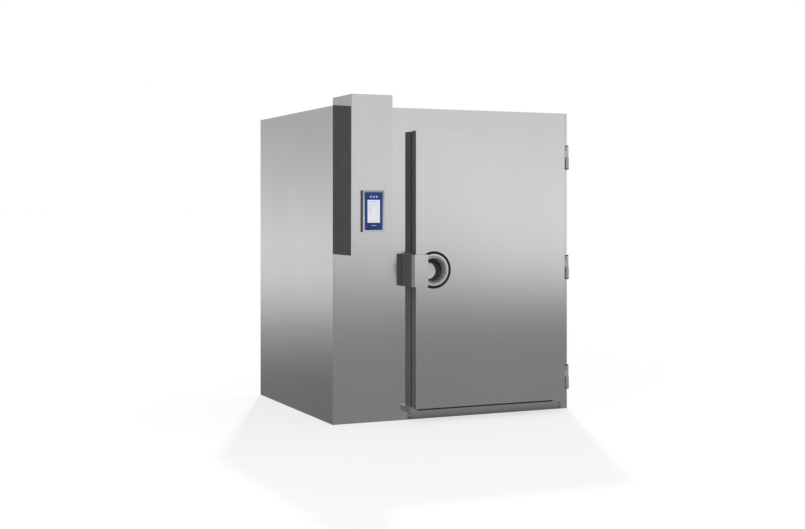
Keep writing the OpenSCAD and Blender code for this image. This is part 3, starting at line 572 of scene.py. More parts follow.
for k in range(branches):
    z = fin_low.z + (fin_high.z - fin_low.z) * (k + 0.5) / branches
    place = facing(header_x, high.y, z, TO_REAR)
    lathed(bm, [(8, 0), (8, (header_y - high.y) / MM)], place, 16)
    lathed(bm, [(8, 34), (10.4, 34.6), (10.4, 37), (8, 40)], place, 16)
piece("evaporator_tubes", bm, copper_tube, ["coil_pipework"])

# ---- Refrigerant lines and expansion valve ----
# Drawn copper tube, swaged at the joints and brazed. Each line ends above the roof in an
# open socket. The thermostatic valve is turned from brass, with a capped spindle.
low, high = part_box("suction_line")
h = (high.z - low.z) / MM
bm = bmesh.new()
lathed(bm, [(20, 0), (20, 14), (22, 16), (22, 30), (20, 33), (20, h - 36), (21, h - 34),
            (21, h - 0.6), (20.4, h), (19.2, h), (19, h - 30), (0, h - 30)],
       facing(header_x, header_y, low.z), 32)
piece("suction_pipe", bm, copper_tube, ["suction_line"])
low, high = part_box("liquid_line")
liquid_x, liquid_y = centre("liquid_line").xy
h = (high.z - low.z) / MM
bm = bmesh.new()
lathed(bm, [(7.5, 0), (9.4, 1), (9.4, 14), (7.5, 17), (7.5, h - 36), (8, h - 34), (8, h - 0.4),
            (7.7, h), (7, h), (6.8, h - 20), (0, h - 20)], facing(liquid_x, liquid_y, low.z), 24)
piece("liquid_pipe", bm, copper_tube, ["liquid_line"])

turned_brass = plated("brass_turned", "#B8924A", "#C9A65C", 0.25)
valve_z = low.z - 60 * MM
bm = bmesh.new()
place = facing(liquid_x, liquid_y, valve_z)
lathed(bm, [(0, 0), (15, 0), (17, 2), (17, 12), (13, 14), (13, 20)], place, 6)
lathed(bm, [(13, 14), (13, 17), (16, 18), (16, 42), (13, 43), (13, 46)], place, 28)
lathed(bm, [(13, 46), (17, 47), (17, 59), (15, 60), (9, 60)], place, 6)
lathed(bm, [(0, 0), (12, 0), (12, 30), (18, 32), (21, 34), (22, 36), (22, 44), (20.5, 46),
            (12, 47), (11, 48), (0, 48)], facing(liquid_x, liquid_y, valve_z + 28 * MM, TO_RIGHT),
       28)
out_mm = (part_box("evaporator_coil")[0].y - liquid_y) / MM
lathed(bm, [(9, 0), (9, 22), (11, 23), (11, 32), (9, 33), (8, 34), (8, out_mm)],
       facing(liquid_x, liquid_y, valve_z + 14 * MM, TO_REAR), 24)
piece("expansion_valve_body", bm, turned_brass, ["expansion_valve"])

# ---- Drip tray and drain ----
# Folded stainless tray under the evaporator, with a drain spigot that drops into a black
# plastic pipe. The pipe runs out through the rear wall, past a rubber collar.
dressed("drip_tray_pan", "drip_tray", 0.6 * MM, inner_steel)
black_pvc = moulded("pvc_black", "#37373A", "#3E3E41", 0.45)
bm = softened("drain_pipe", 0.6 * MM)
drain_x, drain_z = centre("drain_pipe").x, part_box("drain_pipe")[0].z + 21 * MM
spigot_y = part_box("evaporator_coil")[1].y + 29 * MM
rear_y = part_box("rear_outer_skin")[1].y
lathed(bm, [(20.2, 0), (26, 0), (26, 5), (24.5, 6.5), (20.2, 6.5)],
       facing(drain_x, spigot_y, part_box("drip_tray")[0].z, DOWN), 8)
for y, axis in ((room_rear, TO_FRONT), (spigot_y + 60 * MM, TO_REAR)):
    place = facing(drain_x, y, drain_z, axis)
    lathed(bm, [(21, 0), (25, 0), (25, 3), (24, 4), (21, 4)], place, 32)
piece("drain_pipework", bm, black_pvc, ["drain_pipe"])
collar("drain_collar", facing(drain_x, rear_y, drain_z, TO_REAR), 20)

# ---- Fan panel with its guards, motors and rotors ----
# Folded stainless panel on lift-off hinges, closed by knurled screws along its front edge.
# Behind each opening a dark motor hangs on four arms and turns a moulded fan; a guard of
# round chromed wire covers it.
low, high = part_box("fan_panel")
bm = softened("fan_panel", 0.5 * MM)
panel_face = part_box("fan_guards")[0].x
screw_zs = [low.z + (high.z - low.z) * share for share in (0.04, 0.35, 0.65, 0.96)]
for z in screw_zs:
    lathed(bm, [(9, 0), (9, 1), (7.5, 1.4), (7.5, 2), (8.6, 2.4), (8.6, 7.4), (7.8, 8.2),
                (0, 8.2)], facing(panel_face, low.y + 22 * MM, z, TO_RIGHT), 20)
rotor_places = [centre(f"fan_rotor_{k}").yz for k in (1, 2, 3)]
for y, z in rotor_places:
    lathed(bm, [(222, -8), (222.4, -4), (224, -1), (227, 1), (231, 2.2), (236, 2.6), (240, 1.6),
                (242, 0)], facing(panel_face, y, z, TO_RIGHT), 72)
piece("fan_panel_sheet", bm, inner_steel, ["fan_panel"], "fan_panel",
      recalc=False)

chrome_wire = plated("steel_wire_chromed", "#D2D4D6", "#DCDEE0", 0.16)
wire_r, hoop_count, first_hoop_r, hoop_pitch = 1.5, 14, 44, 13.4


def hoop(r, wire):
    """Outline of a ring of round wire."""
    return [(r + wire * math.cos(a), wire * math.sin(a))
            for a in [math.radians(t) for t in range(0, 361, 60)]]


bm = bmesh.new()
guard_low, guard_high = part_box("fan_guards")
guard_r = (guard_high.y - guard_low.y) / 2 / MM
for y, z in rotor_places:
    lathed(bm, [(0, 6.6), (30, 6.6), (34, 5.6), (36, 4), (34.5, 3.4), (0, 3.4)],
           facing(panel_face, y, z, TO_RIGHT), 40)
    for k in range(hoop_count):
        lathed(bm, hoop(first_hoop_r + k * hoop_pitch, wire_r),
               facing(panel_face + 5.3 * MM, y, z, TO_RIGHT), 56)
    for turn in range(0, 180, 45):
        place = (Matrix.Translation((panel_face, y, z))
                 @ Matrix.Rotation(math.radians(turn), 4, "X"))
        for end in (-1, 1):
            arm = sorted((end * 30 * MM, end * (guard_r - 4) * MM))
            rounded_block(bm, (0.4 * MM, arm[0], -2.4 * MM), (3.8 * MM, arm[1], 2.4 * MM),
                          1.2 * MM, place=place)
            tip = facing(3.2 * MM, end * (guard_r - 8) * MM, 0, TO_RIGHT)
            dome_screw(bm, place @ tip, 5.5, 2)
piece("fan_guard_wires", bm, chrome_wire, ["fan_guards"], "fan_panel")

motor_paint = clouded("aluminium_casting_painted_dark", 0.0, 0.45, "#39393B", "#434345", 12,
                      (700, 700, 700), 0.15 * MM, spread=None, IOR=1.5)
motor_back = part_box("fan_motors")[0].x
bm = bmesh.new()
for y, z in rotor_places:
    ribs = []
    for h in range(14, 51, 6):
        ribs += [(60, h), (60, h + 2.5), (55, h + 3), (55, h + 5.5)]
    lathed(bm, [(0, 0), (30, 0), (34, 1), (34, 4), (52, 5), (58, 8), (60, 12)] + ribs
           + [(60, 57), (60, 66), (57, 71), (50, 74), (20, 75), (20, 73), (0, 73)],
           facing(motor_back, y, z, TO_RIGHT), 48)
    for turn in range(45, 360, 90):
        place = (Matrix.Translation((motor_back + 69 * MM, y, z))
                 @ Matrix.Rotation(math.radians(turn), 4, "X"))
        rounded_block(bm, (0, -8 * MM, 50 * MM), (6 * MM, 8 * MM, 225 * MM), 1.5 * MM, place=place)
        for out_mm in (64, 216):
            dome_screw(bm, place @ facing(0, 0, out_mm * MM, TO_LEFT), 6, 3)
piece("fan_motor_set", bm, motor_paint, ["fan_motors"], "fan_panel")

nylon_fan = moulded("nylon_glass_filled_dark", "#3A3A3D", "#454548", 0.5)
blade_count, hub_r, tip_r = 5, 62.0, 213.0
half_chord, blade_t = 40.0, 2.4


def fan_blade(bm, turn):
    """One blade: a grid bent to a pitched, cambered and swept surface, given its thickness."""
    before = set(bm.verts)
    bmesh.ops.create_grid(bm, x_segments=10, y_segments=8, size=0.5)
    made = [v for v in bm.verts if v not in before]
    for v in made:
        reach, across = v.co.x + 0.5, v.co.y * 2
        r = hub_r - 3 + (tip_r - hub_r + 3) * reach
        pitch = math.radians(30 - 12 * reach)
        round_tip = 1 - 0.22 * max(0, reach - 0.8) / 0.2 * abs(across)
        chord = half_chord * (0.82 + 0.22 * reach) * across * round_tip
        camber = 5 * (1 - across ** 2) * (1 - 0.4 * reach)
        sweep = turn + math.radians(16) * reach ** 2 + chord * math.cos(pitch) / r
        v.co = Vector((r * math.cos(sweep), r * math.sin(sweep),
                       22 + chord * math.sin(pitch) + camber - 2)) * MM
    faces = list({f for v in made for f in v.link_faces})
    bmesh.ops.solidify(bm, geom=faces, thickness=blade_t * MM)


for k, (y, z) in enumerate(rotor_places):
    back_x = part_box(f"fan_rotor_{k + 1}")[0].x
    bm = bmesh.new()
    for blade in range(blade_count):
        fan_blade(bm, 2 * math.pi * blade / blade_count)
    lathed(bm, [(0, -30), (7, -30), (8, -29), (8, 0), (30, 0), (56, 1), (60, 3), (62, 7), (62, 36),
                (60.5, 40), (56, 42.5), (44, 44), (24, 44.6), (22, 43.4), (12, 43.4), (11, 44.8),
                (0, 45)], Matrix.Identity(4), 48)
    bmesh.ops.transform(bm, matrix=facing(back_x + 30 * MM, y, z, TO_RIGHT), verts=bm.verts)
    piece(f"fan_rotor_blades_{k + 1}", bm, nylon_fan, [f"fan_rotor_{k + 1}"],
          f"fan_rotor_{k + 1}")

# ---- Latch keeper and pad ----
# Dark powder-coated steel box on the side of the frame, with a recess for a black nylon
# pad that the lever's heel bears on to break the seal.


def coated(name, colour, light, roughness, gloss):
    """Powder coat with orange peel, whose waves are 2 mm wide."""
    return clouded(name, 0.0, roughness, colour, light, 8, (500, 500, 500), 0.05 * MM, 1.0,
                   None, IOR=1.5, Specular_IOR_Level=gloss)


dark_coat = coated("powder_coat_dark_grey", "#484849", "#4D4D4E", 0.42, 0.5)
bm = softened("latch_keeper", 1.2 * MM, 3)
keeper_low, keeper_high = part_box("latch_keeper")
keeper_mid_y = (keeper_low.y + keeper_high.y) / 2
for z in (keeper_low.z + 26 * MM, keeper_high.z - 26 * MM):
    dome_screw(bm, facing(keeper_low.x, keeper_mid_y, z, TO_LEFT), 7, 2.4)
piece("latch_keeper_box", bm, dark_coat, ["latch_keeper"], recalc=False)
black_nylon = moulded("nylon_black", "#161617", "#1C1C1D", 0.45)
dressed("latch_pad", "keeper_pad", 1.5 * MM, black_nylon, 3)

# ---- Hinges ----
# Three bright cast hinges. A foot with countersunk screws stands on the cabinet and carries
# the lower knuckle; a plate on the leaf's edge carries the upper one. The pins have black
# caps, and a black bush closes the lower knuckle from below.
leaf_low, leaf_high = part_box("hinge_leaves")
foot_low, foot_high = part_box("hinge_brackets")
hinge_x, hinge_y = centre("hinge_pins").xy
hinge_h, foot_t, hinge_plate_t = 170 * MM, 5 * MM, 4 * MM
first_z = leaf_low.z - 3 * MM + hinge_h / 2
last_z = leaf_high.z - hinge_h / 2
hinge_zs = [first_z, (first_z + last_z) / 2, last_z]
leaf_edge_x = leaf_low.x
half_mm = hinge_h / 2 / MM


def sunk_screw(bm, place, r=5.0):
    """A countersunk screw, flush, with its recess."""
    lathed(bm, [(r, 0), (r - 0.4, 0.35), (0.42 * r, 0.35)], place, 20)
    lathed(bm, [(0.45 * r, 0.4), (0.4 * r, -1.2), (0, -1.2)], place, 6)


feet, plates, pins = bmesh.new(), bmesh.new(), bmesh.new()
for z in hinge_zs:
    rounded_block(feet, (foot_low.x, front_y - foot_t, z - hinge_h / 2 - 4 * MM),
                  (foot_high.x, front_y, z + hinge_h / 2), 1.5 * MM)
    rounded_block(feet, (hinge_x - 7 * MM, hinge_y + 8 * MM, z - hinge_h / 2),
                  (hinge_x + 7 * MM, front_y - 4 * MM, z - 0.3 * MM), 2 * MM)
    foot_end = facing(hinge_x, hinge_y, z - hinge_h / 2)
    lathed(feet, [(6.2, 0), (14.8, 0), (16, 0.7), (16.5, 2.2), (16.5, half_mm - 2.6),
                  (16, half_mm - 1), (15, half_mm - 0.3), (6.2, half_mm - 0.3)], foot_end, 40)
    outer_x = foot_high.x - 12 * MM
    for x, dz in ((foot_low.x + 9 * MM, 66), (outer_x, 66), (outer_x, -66)):
        sunk_screw(feet, facing(x, front_y - foot_t, z + dz * MM, TO_FRONT))
    rounded_block(plates, (leaf_edge_x, hinge_y - 8 * MM, z - hinge_h / 2 + 3 * MM),
                  (leaf_edge_x + hinge_plate_t, hinge_y + 56 * MM, z + hinge_h / 2 - 3 * MM),
                  1.2 * MM)
    rounded_block(plates, (leaf_edge_x + 3 * MM, hinge_y - 7 * MM, z + 0.3 * MM),
                  (hinge_x - 8 * MM, hinge_y + 7 * MM, z + 51 * MM), 2 * MM)
    lathed(plates, [(6.05, 0.3), (13.2, 0.3), (14, 1.2), (14, half_mm - 2.4),
                    (13.4, half_mm - 0.6), (12.4, half_mm), (6.05, half_mm)],
           facing(hinge_x, hinge_y, z), 36)
    for dz in (-60, 0, 60):
        sunk_screw(plates, facing(leaf_edge_x + hinge_plate_t, hinge_y + 32 * MM, z + dz * MM,
                                  TO_RIGHT))
    lathed(pins, [(0, 0), (6, 0), (6, 2 * half_mm + 1), (13, 2 * half_mm + 1),
                  (13, 2 * half_mm + 4), (12.4, 2 * half_mm + 6), (10.6, 2 * half_mm + 7.4),
                  (6, 2 * half_mm + 8), (0, 2 * half_mm + 8)], foot_end, 32)
    lathed(pins, [(0, 0), (15.4, 0), (15.4, 3), (13.8, 5), (9, 6.4), (0, 7)],
           facing(hinge_x, hinge_y, z - hinge_h / 2, DOWN), 32)
# one cast steel in two copies: the feet's darker colour is painted shade, the plates' lighter
# colour painted light; the feet are also a little rougher
cast_painted_shade = plated("stainless_cast_painted_shade", "#B2B3B5", "#C0C1C3", 0.34)
cast_painted_light = plated("stainless_cast_painted_light", "#C6C7C9", "#D0D1D3", 0.26)
piece("hinge_feet", feet, cast_painted_shade, ["hinge_brackets"])
piece("hinge_plates", plates, cast_painted_light, ["hinge_leaves"], "door")
piece("hinge_pins_capped", pins, black_nylon, ["hinge_pins"])

# ---- Control column ----
# Stainless cover folded from one sheet: front, right side and bottom, with a rounded edge at
# the front left. The left side is a dark powder-coated panel, under a stainless cap that
# drops over it. Rails inside carry the contactors, the terminals and the power supply.
cover_low, cover_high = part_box("column_cover")
cap_low, cap_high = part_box("column_cap")
side_low, side_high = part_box("column_side_panel")
sheet = 2 * MM
edge_r, corner_r, lip = 7 * MM, 3 * MM, 14 * MM
left_x, right_x = side_low.x, cover_high.x
out_y, back_y = cover_low.y, cover_high.y


def folded(grow):
    """The cover's plan, seen from above: lip, rounded edge, front, corner and right side."""
    e, c = edge_r - grow, corner_r - grow
    return ([(left_x + grow, out_y + lip)] + arc(left_x + edge_r, out_y + edge_r, e, 180, 270, 8)
            + arc(right_x - corner_r, out_y + corner_r, c, -90, 0, 4) + [(right_x - grow, back_y)])


column_steel = brushed("stainless_304_satin_column", "#CFCFD0", "#D7D7D8", 0.16)
bm = bmesh.new()
plan = folded(0) + folded(sheet)[::-1]
extruded(bm, [(x, y, cover_low.z) for x, y in plan], (0, 0, cap_high.z - sheet - cover_low.z))
rounded_block(bm, (left_x + sheet, out_y + sheet, cover_low.z),
              (right_x - sheet, back_y, cover_low.z + sheet), 0.5 * MM)
piece("column_cover_sheet", bm, column_steel, ["column_cover"])

matt_coat = coated("powder_coat_dark_grey_matt", "#404041", "#444445", 0.6, 0.22)
bm = bmesh.new()
slope_top = [(back_y, side_high.z), (out_y + lip + 0.6 * MM, side_high.z - 33 * MM)]
extruded(bm, [(side_low.x, back_y, side_low.z), (side_low.x, out_y + lip + 0.6 * MM, side_low.z)]
         + [(side_low.x, y, z) for y, z in slope_top[::-1]], (sheet, 0, 0))
round_edges(bm, list(bm.edges), 0.5 * MM)
piece("column_side_sheet", bm, matt_coat, ["column_side_panel"])

bm = bmesh.new()
rounded_block(bm, (cap_low.x, cap_low.y, cap_high.z - sheet), cap_high, 0.9 * MM)
hem = 3 * MM
drop = [(back_y, side_high.z + 0.3 * MM), (out_y + lip, side_high.z - 32.7 * MM),
        (out_y + lip, cap_high.z - sheet), (back_y, cap_high.z - sheet)]
extruded(bm, [(cap_low.x + 0.5 * MM, y, z) for y, z in drop], (1.5 * MM, 0, 0))
hem_line = drop[:2] + [(y, z + hem) for y, z in drop[1::-1]]
extruded(bm, [(cap_low.x, y, z) for y, z in hem_line], (sheet + 0.6 * MM, 0, 0))
piece("column_cap_sheet", bm, column_steel, ["column_cap"])
finished("column_back_plate", inner_steel)
dressed("din_rails", "mounting_rails", 0.4 * MM, inner_steel)

low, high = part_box("rail_devices")
devices = bmesh.new()
contactor_w, contactor_h, contactor_pitch, base_deep = 54 * MM, 84, 62 * MM, 52
for k in range(3):
    x = low.x + k * contactor_pitch
    for inset, deep in ((0, base_deep), (6, 70), (14, 84)):
        rounded_block(devices, (x, high.y - deep * MM, low.z + inset * MM),
                      (x + contactor_w, high.y - (deep - 30) * MM,
                       low.z + (contactor_h - inset) * MM), 1.2 * MM)
    for column in range(3):
        for up in (6, 78):
            lathed(devices, [(4.4, 0), (4.4, 1), (3, 1.6), (0, 1.6)],
                   facing(x + (11 + column * 16) * MM, high.y - base_deep * MM,
                          low.z + up * MM, TO_FRONT), 14)
terminal_w, terminal_pitch, terminal_deep, terminal_h = 11 * MM, 12, 44 * MM, 56 * MM
for k in range(12):
    x = low.x + (4 + k * terminal_pitch) * MM
    rounded_block(devices, (x, high.y - terminal_deep, high.z - terminal_h),
                  (x + terminal_w, high.y, high.z), 0.8 * MM)
    for down in (48, 8):
        lathed(devices, [(3.2, 0), (3.2, 0.8), (0, 0.8)],
               facing(x + terminal_w / 2, high.y - terminal_deep, high.z - down * MM, TO_FRONT),
               12)
piece("contactors_and_terminals", devices, light_plastic, ["rail_devices"])

pressed_alu = plated("aluminium_pressed_case", "#C4C6C8", "#D0D2D3", 0.38)
low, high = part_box("power_supply")
bm = bmesh.new()
rounded_block(bm, low, high, 1.5 * MM)
# rows of raised louvres on its front
for row in range(9):
    for column in range(6):
        x, z = low.x + (10 + column * 14) * MM, low.z + (14 + row * 11) * MM
        block(bm, (x, low.y - 0.6 * MM, z), (x + 10 * MM, low.y + 1 * MM, z + 4 * MM))
piece("power_supply_case", bm, pressed_alu, ["power_supply"])

board_green, tree, place = surface("glass_epoxy_solder_mask_green", 0.0, 0.3, IOR=1.5)
tracks = pattern(tree, place, (150, 150, 150), 0.0, "TexVoronoi")
worked(tree, tracks, "#2B6B45", "#1E5233", span=(0.35, 0.45))
bm = softened("control_board", 0.4 * MM)
low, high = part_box("control_board")
# components of a few sizes on its rear face
for k in range(4):
    for row in range(3):
        x, z = low.x + (12 + k * 28) * MM, low.z + (30 + row * 50) * MM
        w, d, h = (10 + 4 * (k % 2)) * MM, (3 + row) * MM, (14 + 6 * (row % 2)) * MM
        rounded_block(bm, (x, high.y, z), (x + w, high.y + d, z + h), 0.6 * MM)
piece("control_board_assembly", bm, board_green, ["control_board"])

# ---- Display ----
# Dark moulded case with an aluminium trim round a blue glass front. The lit picture is an
# upright pale page of plain tiles, with status lights above it and a plain bar below.
display_case = moulded("abs_dark_case", "#353537", "#3B3B3D", 0.45)
case_low, case_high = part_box("display_housing")
trim_low, trim_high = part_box("display_bezel")
glass_low, glass_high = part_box("display_glass")
bm = bmesh.new()
rounded_block(bm, case_low, case_high, 3 * MM, 4)
piece("display_case", bm, display_case, ["display_housing"])
trim_alu = plated("aluminium_trim_satin", "#C4C5D2", "#D0D1DC", 0.22)
bm = bmesh.new()


def closed_line(bm, points):
    """Draws a closed outline and returns its edges."""
    line = [bm.verts.new(p) for p in points]
    return [bm.edges.new(pair) for pair in zip(line, line[1:] + line[:1])]


def pulled_on(bm, edges):
    """Extrudes an outline and returns its new vertices and its new edges."""
    pulled = bmesh.ops.extrude_edge_only(bm, edges=edges)["geom"]
    verts = {g for g in pulled if isinstance(g, bmesh.types.BMVert)}
    return verts, [g for g in pulled
                   if isinstance(g, bmesh.types.BMEdge) and verts.issuperset(g.verts)]


def framed(bm, outline, low, high):
    """Runs an outline of (inward, y) points once round a rectangle, mitred at the corners."""
    edges = closed_line(bm, [(low.x + u, y, low.z + u) for u, y in outline])
    middle = Matrix.Translation((low + high) / 2)
    for flip in ((-1, 1, 1), (1, 1, -1)) * 2:
        verts, edges = pulled_on(bm, edges)
        bmesh.ops.transform(bm, matrix=middle @ Matrix.Diagonal((*flip, 1)) @ middle.inverted(),
                            verts=list(verts))
    bmesh.ops.remove_doubles(bm, verts=bm.verts, dist=0.001 * MM)


trim_w, trim_front, trim_back = 14 * MM, trim_low.y, trim_high.y
trim = [(0, trim_back), (0, trim_front + 0.7 * MM), (0.6 * MM, trim_front), (1.8 * MM, trim_front),
        (trim_w - 0.4 * MM, trim_front + 2.1 * MM), (trim_w - 0.2 * MM, trim_back)]
framed(bm, trim, trim_low, trim_high)
piece("display_trim", bm, trim_alu, ["display_bezel"])

blue_glass, tree, place = surface("glass_printed_blue", 0.0, 0.12, IOR=1.5,
                                  Specular_IOR_Level=0.3)
worked(tree, pattern(tree, place, (8, 8, 3), detail=2.0), "#15264F", "#223C7C")


def glowing(name, colour, light, strength=0.93):
    """Part of the lit picture behind glass; its pixels are drawn 1 mm wide."""
    made, tree, place = surface(name, 0.0, 0.15, IOR=1.5, Base_Color=(0.02, 0.02, 0.03, 1),
                                Emission_Strength=strength)
    pixels = pattern(tree, place, (1000, 1000, 1000), detail=1.0)
    worked(tree, pixels, colour, light, socket="Emission Color")
    return made


bm = bmesh.new()
rounded_block(bm, (glass_low.x, glass_low.y, trim_low.z + trim_w),
              (glass_high.x, glass_high.y, trim_high.z - trim_w), 0.5 * MM)
piece("display_front_glass", bm, blue_glass, ["display_glass"])

page_w, page_h = 93, 158
page_left = (glass_low.x + glass_high.x - page_w * MM) / 2
page_top = glass_high.z - 49 * MM
skin_d = 0.3 * MM


def tile(bm, x, z, w, h, lift):
    """A thin rounded plate on the glass; x and z are its upper left corner on the page."""
    left, top = page_left + x * MM, page_top - z * MM
    rounded_block(bm, (left, glass_low.y - lift * skin_d, top - h * MM),
                  (left + w * MM, glass_low.y, top), 0.1 * MM, 1)


page = bmesh.new()
tile(page, 0, 0, page_w, page_h, 1)
piece("display_page", page, glowing("lit_picture_white", "#DCE2F6", "#E8ECFA"))
# plain tiles: a header bar, three rows of three, a wide tile and a footer bar
colours = {"lavender": ("#C9CBEE", "#D6D8F4"), "green": ("#D0E0CF", "#DEEADC"),
           "pink": ("#EED8E4", "#F6E6EE"), "grey": ("#CDD6DD", "#DCE3E8")}
tiles = {"lavender": [(6, 6, 81, 14), (6, 52, 25, 22)],
         "green": [(62, 26, 25, 22), (62, 52, 25, 22), (62, 78, 25, 22), (62, 104, 25, 30)],
         "pink": [(34, 52, 25, 22), (34, 78, 25, 22), (6, 104, 53, 30)],
         "grey": [(6, 26, 25, 22), (34, 26, 25, 22), (6, 78, 25, 22), (6, 140, 81, 10)]}
for colour, places in tiles.items():
    bm = bmesh.new()
    for x, z, w, h in places:
        tile(bm, x, z, w, h, 2)
    lit_tile = glowing(f"lit_picture_{colour}", *colours[colour])
    piece(f"display_tiles_{colour}", bm, lit_tile)
bm = bmesh.new()
for k in (-1, 0, 1):
    lathed(bm, [(7, 0), (7, 0.3), (6, 0.6), (0, 0.6)],
           facing(page_left + (page_w / 2 + k * 22) * MM, glass_low.y,
                  glass_high.z - 27 * MM, TO_FRONT), 24)
tile(bm, 28, 176, 37, 4, 2)
piece("display_status_lights", bm, glowing("status_light_pale_blue", "#9DB9EC", "#B7CDF4", 0.8))

# ---- Cable gland ----
# Black nylon gland clamped in the column's back plate: a hexagon nut on each side, and a
# ribbed cap that squeezes a rubber ring round the supply cable.
gland = centre("cable_gland")
place = facing(gland.x, front_y, gland.z, TO_REAR)
bm = bmesh.new()
lathed(bm, [(9, 0), (18.8, 0), (20, 1), (20, 9), (18.8, 10), (9, 10)], place, 6)
lathed(bm, [(13, -9), (18, -9), (19, -8.2), (19, -2.8), (18, -2), (13, -2)], place, 6)
lathed(bm, [(9, 12), (9, -10), (12.4, -10), (13, -9.4), (13, 12)], place, 32)
lathed(bm, [(9, 10), (17, 10), (17, 22), (16, 26), (13.4, 29.4), (12, 30), (9.4, 30), (9, 29.6),
            (9, 10)], place, 32)
for turn in range(0, 360, 20):
    rounded_block(bm, (16.4 * MM, -1.2 * MM, 11 * MM), (17.8 * MM, 1.2 * MM, 22 * MM), 0.4 * MM,
                  place=place @ Matrix.Rotation(math.radians(turn), 4, "Z"))
piece("cable_gland_body", bm, black_pvc, ["cable_gland"])

# ---- Door leaf ----
# Flat satin sheet on the front and a plain sheet on the inside, with foam between them. The
# dark vinyl profile round the edge has a groove just behind the front sheet.
fold_in = 1.4 * MM
leaf_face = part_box("door_outer_skin")[0].y
bm = copied("door_outer_skin")
rim = [e for e in bm.edges if all(v.co.y < leaf_face + 0.01 * MM for v in e.verts)
       and abs(e.calc_face_angle()) > math.radians(35)]
round_edges(bm, rim, fold_in, 3)
piece("door_front_sheet", bm, satin_steel, ["door_outer_skin"], "door",
      recalc=False)
dressed("door_inner_sheet", "door_inner_skin", 0.5 * MM, inner_steel,
        body="door")
low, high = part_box("door_edge_profile")
groove = [(12, high.y), (12, low.y), (0, low.y), (0, low.y + 2 * MM), (2.4, low.y + 3 * MM),
          (2.4, low.y + 13 * MM), (0, low.y + 15 * MM), (0, high.y - 16 * MM),
          (0.8, high.y - 15 * MM), (0.8, high.y - 13 * MM), (0, high.y - 12 * MM), (0, high.y)]
bm = bmesh.new()
framed(bm, [(u * MM, y) for u, y in groove], low, high)
piece("door_edge_frame", bm, dark_vinyl, ["door_edge_profile"], "door")

# ---- Door seal and wiper ----
# Black magnetic seal with two folds of bellows, pushed into the leaf's edge on both sides
# and the top and cut square at its feet. A rubber lip wipes the threshold.
low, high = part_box("door_gasket")
seal = [(3, 0), (37, 0), (37, 8), (33, 12), (38, 16), (36, 20), (40, 23), (40, 27.7), (0, 27.7),
        (0, 23), (3.4, 20), (0.6, 16.5), (4.4, 12), (1, 8), (3, 4)]
bm = bmesh.new()
# the outline's second value runs from the leaf towards the frame
edges = closed_line(bm, [(low.x + u * MM, low.y + v * MM, low.z) for u, v in seal])
middle_x = (low.x + high.x) / 2
for step in ("up", "across", "down"):
    verts, edges = pulled_on(bm, edges)
    for v in verts:
        if step == "up":
            v.co.z = high.z - (v.co.x - low.x)
        elif step == "across":
            v.co.x = 2 * middle_x - v.co.x
        else:
            v.co.z = low.z
bmesh.ops.holes_fill(bm, edges=[e for e in bm.edges if e.is_boundary], sides=0)
piece("door_magnetic_seal", bm, black_rubber, ["door_gasket"], "door")
deep_rubber = moulded("epdm_rubber_matt_black", "#101010", "#151515", 0.75)
lip_over = 7 * MM
bm = softened("door_wiper", 1 * MM, 3)
wiper_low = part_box("door_wiper")[0].z
for v in bm.verts:
    if v.co.z < wiper_low + 2.5 * MM:
        v.co.z -= lip_over
piece("door_wiper_lip", bm, deep_rubber, ["door_wiper"], "door", recalc=False)

# ---- Handle bowl ----
# Pressed stainless ring with a groove and a rolled bead round a deep black dish, on a thick
# black rubber ring that seals it to the door. The fingers reach into it behind the lever.
bowl_x, bowl_z = centre("bowl_ring_seal").xz
place = facing(bowl_x, leaf_face, bowl_z, TO_FRONT)
bm = bmesh.new()
lathed(bm, [(99, -3), (99, 1.6), (99.6, 2.6), (101, 3), (120, 3), (123, 2.4), (123, 0)], place, 96)
lathed(bm, [(99, 1.2), (97, 1.2), (96.6, 2.6), (95.4, 3), (94.2, 3.6), (94, 5), (93, 6.2),
            (91.2, 6.6), (89.6, 6), (88.8, 4.4), (88.6, -2)], place, 96)
piece("bowl_pressed_ring", bm, bright_steel, ["handle_bowl"], "door")
# painted shade: a mid-grey coat for the bowl's recess wall and the lever's bend, where shade falls
grey_painted_shade = coated("powder_coat_grey_painted_shade", "#7A7A7B", "#828283", 0.35, 0.6)
bm = bmesh.new()
lathed(bm, [(88.6, -1), (87.8, -5), (84, -13), (80, -20), (79.2, -23), (78.8, -38)], place, 96)
piece("bowl_side_wall", bm, grey_painted_shade, body="door")
dish_black = moulded("abs_gloss_black", "#161617", "#1E1E1F", 0.18, depth=0.01 * MM)
bm = bmesh.new()
rod_x = centre("release_rod").x
lathed(bm, [(78.9, -36), (78.4, -36.6), (77, -41), (73, -44), (66, -45), (40, -45.2), (38, -44.4),
            (36, -45.2), (0, -45.2)], place, 96)
lathed(bm, [(12, -45.4), (12, -43), (11, -42), (8.6, -42), (8.2, -45.4)],
       facing(rod_x, leaf_face, bowl_z, TO_FRONT), 32)
piece("bowl_black_dish", bm, dish_black, body="door")
bm = bmesh.new()
# the seal reaches in over the pressed ring's outer 7 mm as painted shade, and the thin black ring
# in the groove below is painted shade of the groove
lathed(bm, [(116, 3.05), (116.4, 4.4), (118, 5), (132, 5), (134.4, 4.2), (135.6, 2.4), (136, 0),
            (123.2, 0), (123.2, 3.05), (116, 3.05)], place, 96)
lathed(bm, [(96.4, 1.3), (96.4, 2.4), (97.4, 3.1), (100, 3.1), (101, 2.4), (101, 1.3),
            (96.4, 1.3)], place, 96)
piece("bowl_rubber_ring_and_painted_shade", bm, deep_rubber, ["bowl_ring_seal"], "door")

